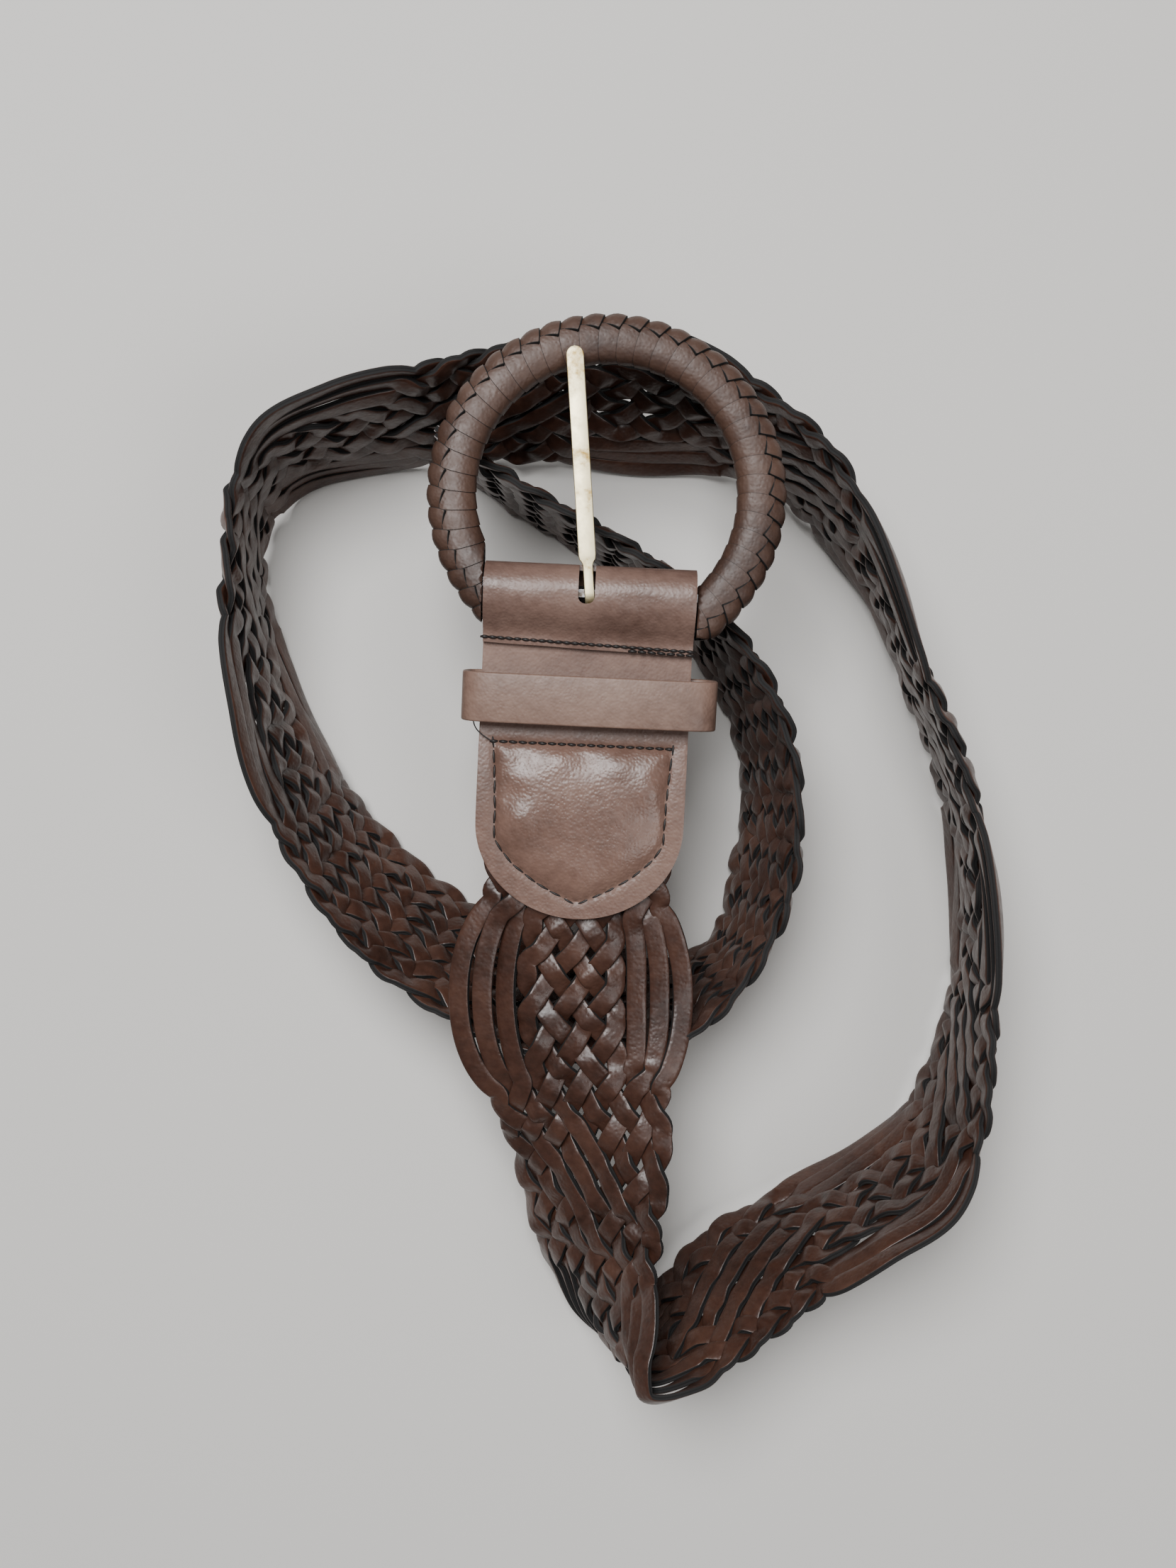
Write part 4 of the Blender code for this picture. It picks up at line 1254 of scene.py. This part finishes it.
# %% Loose thread end
def loose_thread():
    """A thread end that curls out from under the keeper beside the panel's corner."""
    shares = [(-22.0, 36.6, 2.9), (-25.0, 35.0, 3.2), (-27.0, 32.5, 3.0), (-27.2, 30.0, 2.6)]
    points = [tab_point(a * MM, h * MM, x * MM) for x, a, h in shares]
    line = bpy.data.curves.new("loose_thread", "CURVE")
    line.dimensions = "3D"
    line.bevel_depth = 0.16 * MM
    line.bevel_resolution = 2
    line.use_fill_caps = True
    spline = line.splines.new("NURBS")
    spline.points.add(len(points) - 1)
    for point, place in zip(spline.points, points):
        point.co = (*place, 1.0)
    spline.use_endpoint_u = True
    spline.order_u = 3
    worker = bpy.data.objects.new("loose_thread_worker", line)
    bpy.context.scene.collection.objects.link(worker)
    made = plain_copy(worker, "loose_thread_end")
    made.data.materials.clear()
    made.data.materials.append(THREAD)
    shaded(made.data)
    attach(made, "belt")


loose_thread()
print("loose thread end added")

# %% [markdown]
# The keeper is a flat strip bent into a loop, so it is swept like a strand, round a closed line.

# %% Keeper
KEEPER_LENGTH = 62 * MM
KEEPER_WIDTH = 12 * MM
KEEPER_FROM_BAR = 25.5 * MM
KEEPER_ASIDE = 1 * MM
KEEPER_RISE = 5.2 * MM


def flat_profile(name, width, thick, soft):
    """Rounded rectangle as a closed line of points, thickness along X and width along Y."""
    x = thick / 2 - soft
    y = width / 2 - soft
    corners = [(x, y, 0), (-x, y, 90), (-x, -y, 180), (x, -y, 270)]
    points = []
    for x, y, start in corners:
        for i in range(4):
            turn = math.radians(start + 30 * i)
            points.append((x + soft * math.cos(turn), y + soft * math.sin(turn), 0.0))
    mesh = bpy.data.meshes.new(name)
    mesh.from_pydata(points, [(i, (i + 1) % len(points)) for i in range(len(points))], [])
    return mesh


def build_keeper():
    low = LEVEL_BACK - LEATHER - 0.3 * MM
    high = front_level(KEEPER_FROM_BAR + KEEPER_WIDTH / 2) + LEATHER + KEEPER_RISE
    half = KEEPER_LENGTH / 2 - LEATHER / 2
    middle = (low + high) / 2
    round_by = (high - low) / 2
    points = []
    looks = []
    count = 96
    for i in range(count):
        turn = math.tau * i / count
        bend = math.copysign(abs(math.cos(turn)) ** 0.16, math.cos(turn))
        lift = math.copysign(abs(math.sin(turn)) ** 0.75, math.sin(turn))
        x = half * bend
        crown = 0.7 * MM * (1 - (x / half) ** 2) * (lift > 0)
        n = middle + round_by * lift + crown
        points.append(tab_point(KEEPER_FROM_BAR, n, x + KEEPER_ASIDE))
    for i in range(count):
        run = Vector(points[(i + 1) % count]) - Vector(points[i - 1])
        side = tab_point(1, 0) - tab_point(0, 0)
        looks.append(tuple(run.cross(side).normalized()))
    worker = put("keeper_worker", line_mesh("keeper_line", points, looks, closed=True))
    profile = helper("keeper_profile", flat_profile("keeper_profile", KEEPER_WIDTH, LEATHER,
                                                    0.45 * MM))
    nodes_modifier(worker, STRIP_TREE, Profile=profile, Material=KEEPER_LEATHER)
    made = plain_copy(worker, "keeper_loop")
    bpy.data.objects.remove(profile)
    shaded(made.data, 50)
    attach(made, "belt")
    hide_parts("keeper")


build_keeper()
print("keeper, mm", round(KEEPER_LENGTH / MM, 1), "x", round(KEEPER_WIDTH / MM, 1))

# %% [markdown]
# The prong is one flat bar, bent into a loop on the frame's bar. It narrows where it goes
# through the slot, and its edges are worn soft.

# %% Prong
PRONG_WIDTH = 4.2 * MM
PRONG_NECK = 2.4 * MM
PRONG_THICK = 1.3 * MM
PRONG_REACH = 58.7 * MM
PRONG_LOOP = 2 * MM + 0.3 * MM + PRONG_THICK / 2
SHOULDER = 5.6 * MM + LEATHER + 1.3 * MM
SHOULDER_RUN = 1.1 * MM


def prong_half(y):
    """Half width at a distance from the bar."""
    if y < SHOULDER:
        share = min(max((y - SHOULDER + SHOULDER_RUN) / SHOULDER_RUN, 0.0), 1.0)
        return PRONG_NECK / 2 + (PRONG_WIDTH - PRONG_NECK) / 2 * share ** 0.7
    from_tip = PRONG_REACH - y
    if from_tip < PRONG_WIDTH / 2:
        share = 1 - from_tip / (PRONG_WIDTH / 2)
        return PRONG_WIDTH / 2 * math.sqrt(max(1 - share ** 2, 0.0)) + 0.02 * MM
    return PRONG_WIDTH / 2


def build_prong():
    rise = SECTION_HIGH / 2 + 0.3 * MM + PRONG_THICK / 2 - PRONG_LOOP
    path = []
    for i in range(24):
        turn = math.radians(-20 - i * 250 / 23)
        path.append((math.cos(turn) * PRONG_LOOP, math.sin(turn) * PRONG_LOOP))
    ahead = [0.9, 2.0, 3.2, 4.2, 5.0, 5.8, 6.6, 7.4, 8.0, 9.0, 12, 18, 24, 30, 36, 42, 48, 54,
             56.6, 57.2, 57.8, 58.2, 58.45, 58.6, 58.7]
    for y in ahead:
        path.append((y * MM, PRONG_LOOP + rise * y * MM / PRONG_REACH))
    rings = []
    for i, (y, z) in enumerate(path):
        before = path[max(i - 1, 0)]
        after = path[min(i + 1, len(path) - 1)]
        dy = after[0] - before[0]
        dz = after[1] - before[1]
        size = math.hypot(dy, dz)
        up = (-dz / size, dy / size)
        half = prong_half(y) if i >= 24 else PRONG_NECK / 2
        soft = min(0.22 * MM, half * 0.9)
        thick = PRONG_THICK / 2
        ring = []
        for sx, sn, first in ((1, 1, 0), (-1, 1, 90), (-1, -1, 180), (1, -1, 270)):
            for k in range(4):
                a = math.radians(first + 30 * k)
                x = sx * (half - soft) + soft * math.cos(a)
                n = sn * (thick - 0.22 * MM) + 0.22 * MM * math.sin(a)
                ring.append((x, y + up[0] * n, z + up[1] * n))
        rings.append(ring)
    mesh = closed_up(grid_mesh("prong", rings, closed=True))
    to_bar = Matrix.Translation(BAR + Vector((PRONG_ASIDE, 0, 0)))
    mesh.transform(to_bar @ Matrix.Rotation(PRONG_OVER, 4, "Z"))
    made = put("prong_bar", shaded(mesh, 40), PRONG_METAL)
    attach(made, "prong")
    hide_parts("prong")


build_prong()
print("prong from bar to tip, mm", round(PRONG_REACH / MM, 1))

# %% [markdown]
# The wire frame is bent from one rod and stays hidden under the lace and the fold, apart from a
# glint in the slot. The CAD solid is exact already, so it only gets its metal.

# %% Buckle frame
frame_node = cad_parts["buckle_frame"]
frame_node.data.materials.clear()
frame_node.data.materials.append(FRAME_STEEL)
print("frame keeps its CAD shape", frame_node.name)

# %% [markdown]
# The picture is taken from straight above the coil, turned a little about the line of sight, as
# in the photograph. A large soft light hangs over the top left, and the room light is a plain grey.

# %% Floor, light and camera
CAMERA_HEIGHT = 430 * MM
CAMERA_ROLL = math.radians(2.7)
LENS_MM = 35.4
PICTURE_POINT = CENTRING


def build_stage():
    mesh = grid_mesh("floor", [[(-3, -3, 0), (3, -3, 0)], [(-3, 3, 0), (3, 3, 0)]])
    floor = put("floor", mesh, FLOOR)


def area_light(name, place, size, power, target=(0, 0, 0)):
    lamp = bpy.data.lights.new(name, "AREA")
    lamp.shape = "DISK"
    lamp.size = size
    lamp.energy = power
    obj = bpy.data.objects.new(name, lamp)
    obj.location = place
    obj.rotation_euler = (Vector(target) - Vector(place)).to_track_quat("-Z", "Y").to_euler()
    bpy.context.scene.collection.objects.link(obj)


LIGHTS = [
    # name  place in metres  width in metres  power in watts
    ("softbox_over", (-0.22, 0.40, 1.1), 0.65, 19.6),
    ("softbox_fill", (0.5, -0.3, 0.9), 0.5, 3),
]
build_stage()
for light in LIGHTS:
    area_light(*light)
world = bpy.data.worlds.new("studio")
world.use_nodes = True
world.node_tree.nodes["Background"].inputs["Color"].default_value = linear("DAD7D4")
world.node_tree.nodes["Background"].inputs["Strength"].default_value = 0.20
bpy.context.scene.world = world

lens = bpy.data.cameras.new("camera")
lens.lens = LENS_MM
lens.sensor_fit = "VERTICAL"
lens.sensor_height = 36.0
camera = bpy.data.objects.new("camera", lens)
camera.location = (PICTURE_POINT.x, PICTURE_POINT.y, CAMERA_HEIGHT)
camera.rotation_euler = (0.0, 0.0, CAMERA_ROLL)
bpy.context.scene.collection.objects.link(camera)
bpy.context.scene.camera = camera
print("lights", len(LIGHTS), "camera height, mm", round(CAMERA_HEIGHT / MM))

# %% [markdown]
# The shapes that only fed the trees are taken away.

# %% Finish
for unit in (PROFILE, STRIP_TURN, LOBE_TURN, LONG_STITCH, SHORT_STITCH):
    bpy.data.objects.remove(unit)
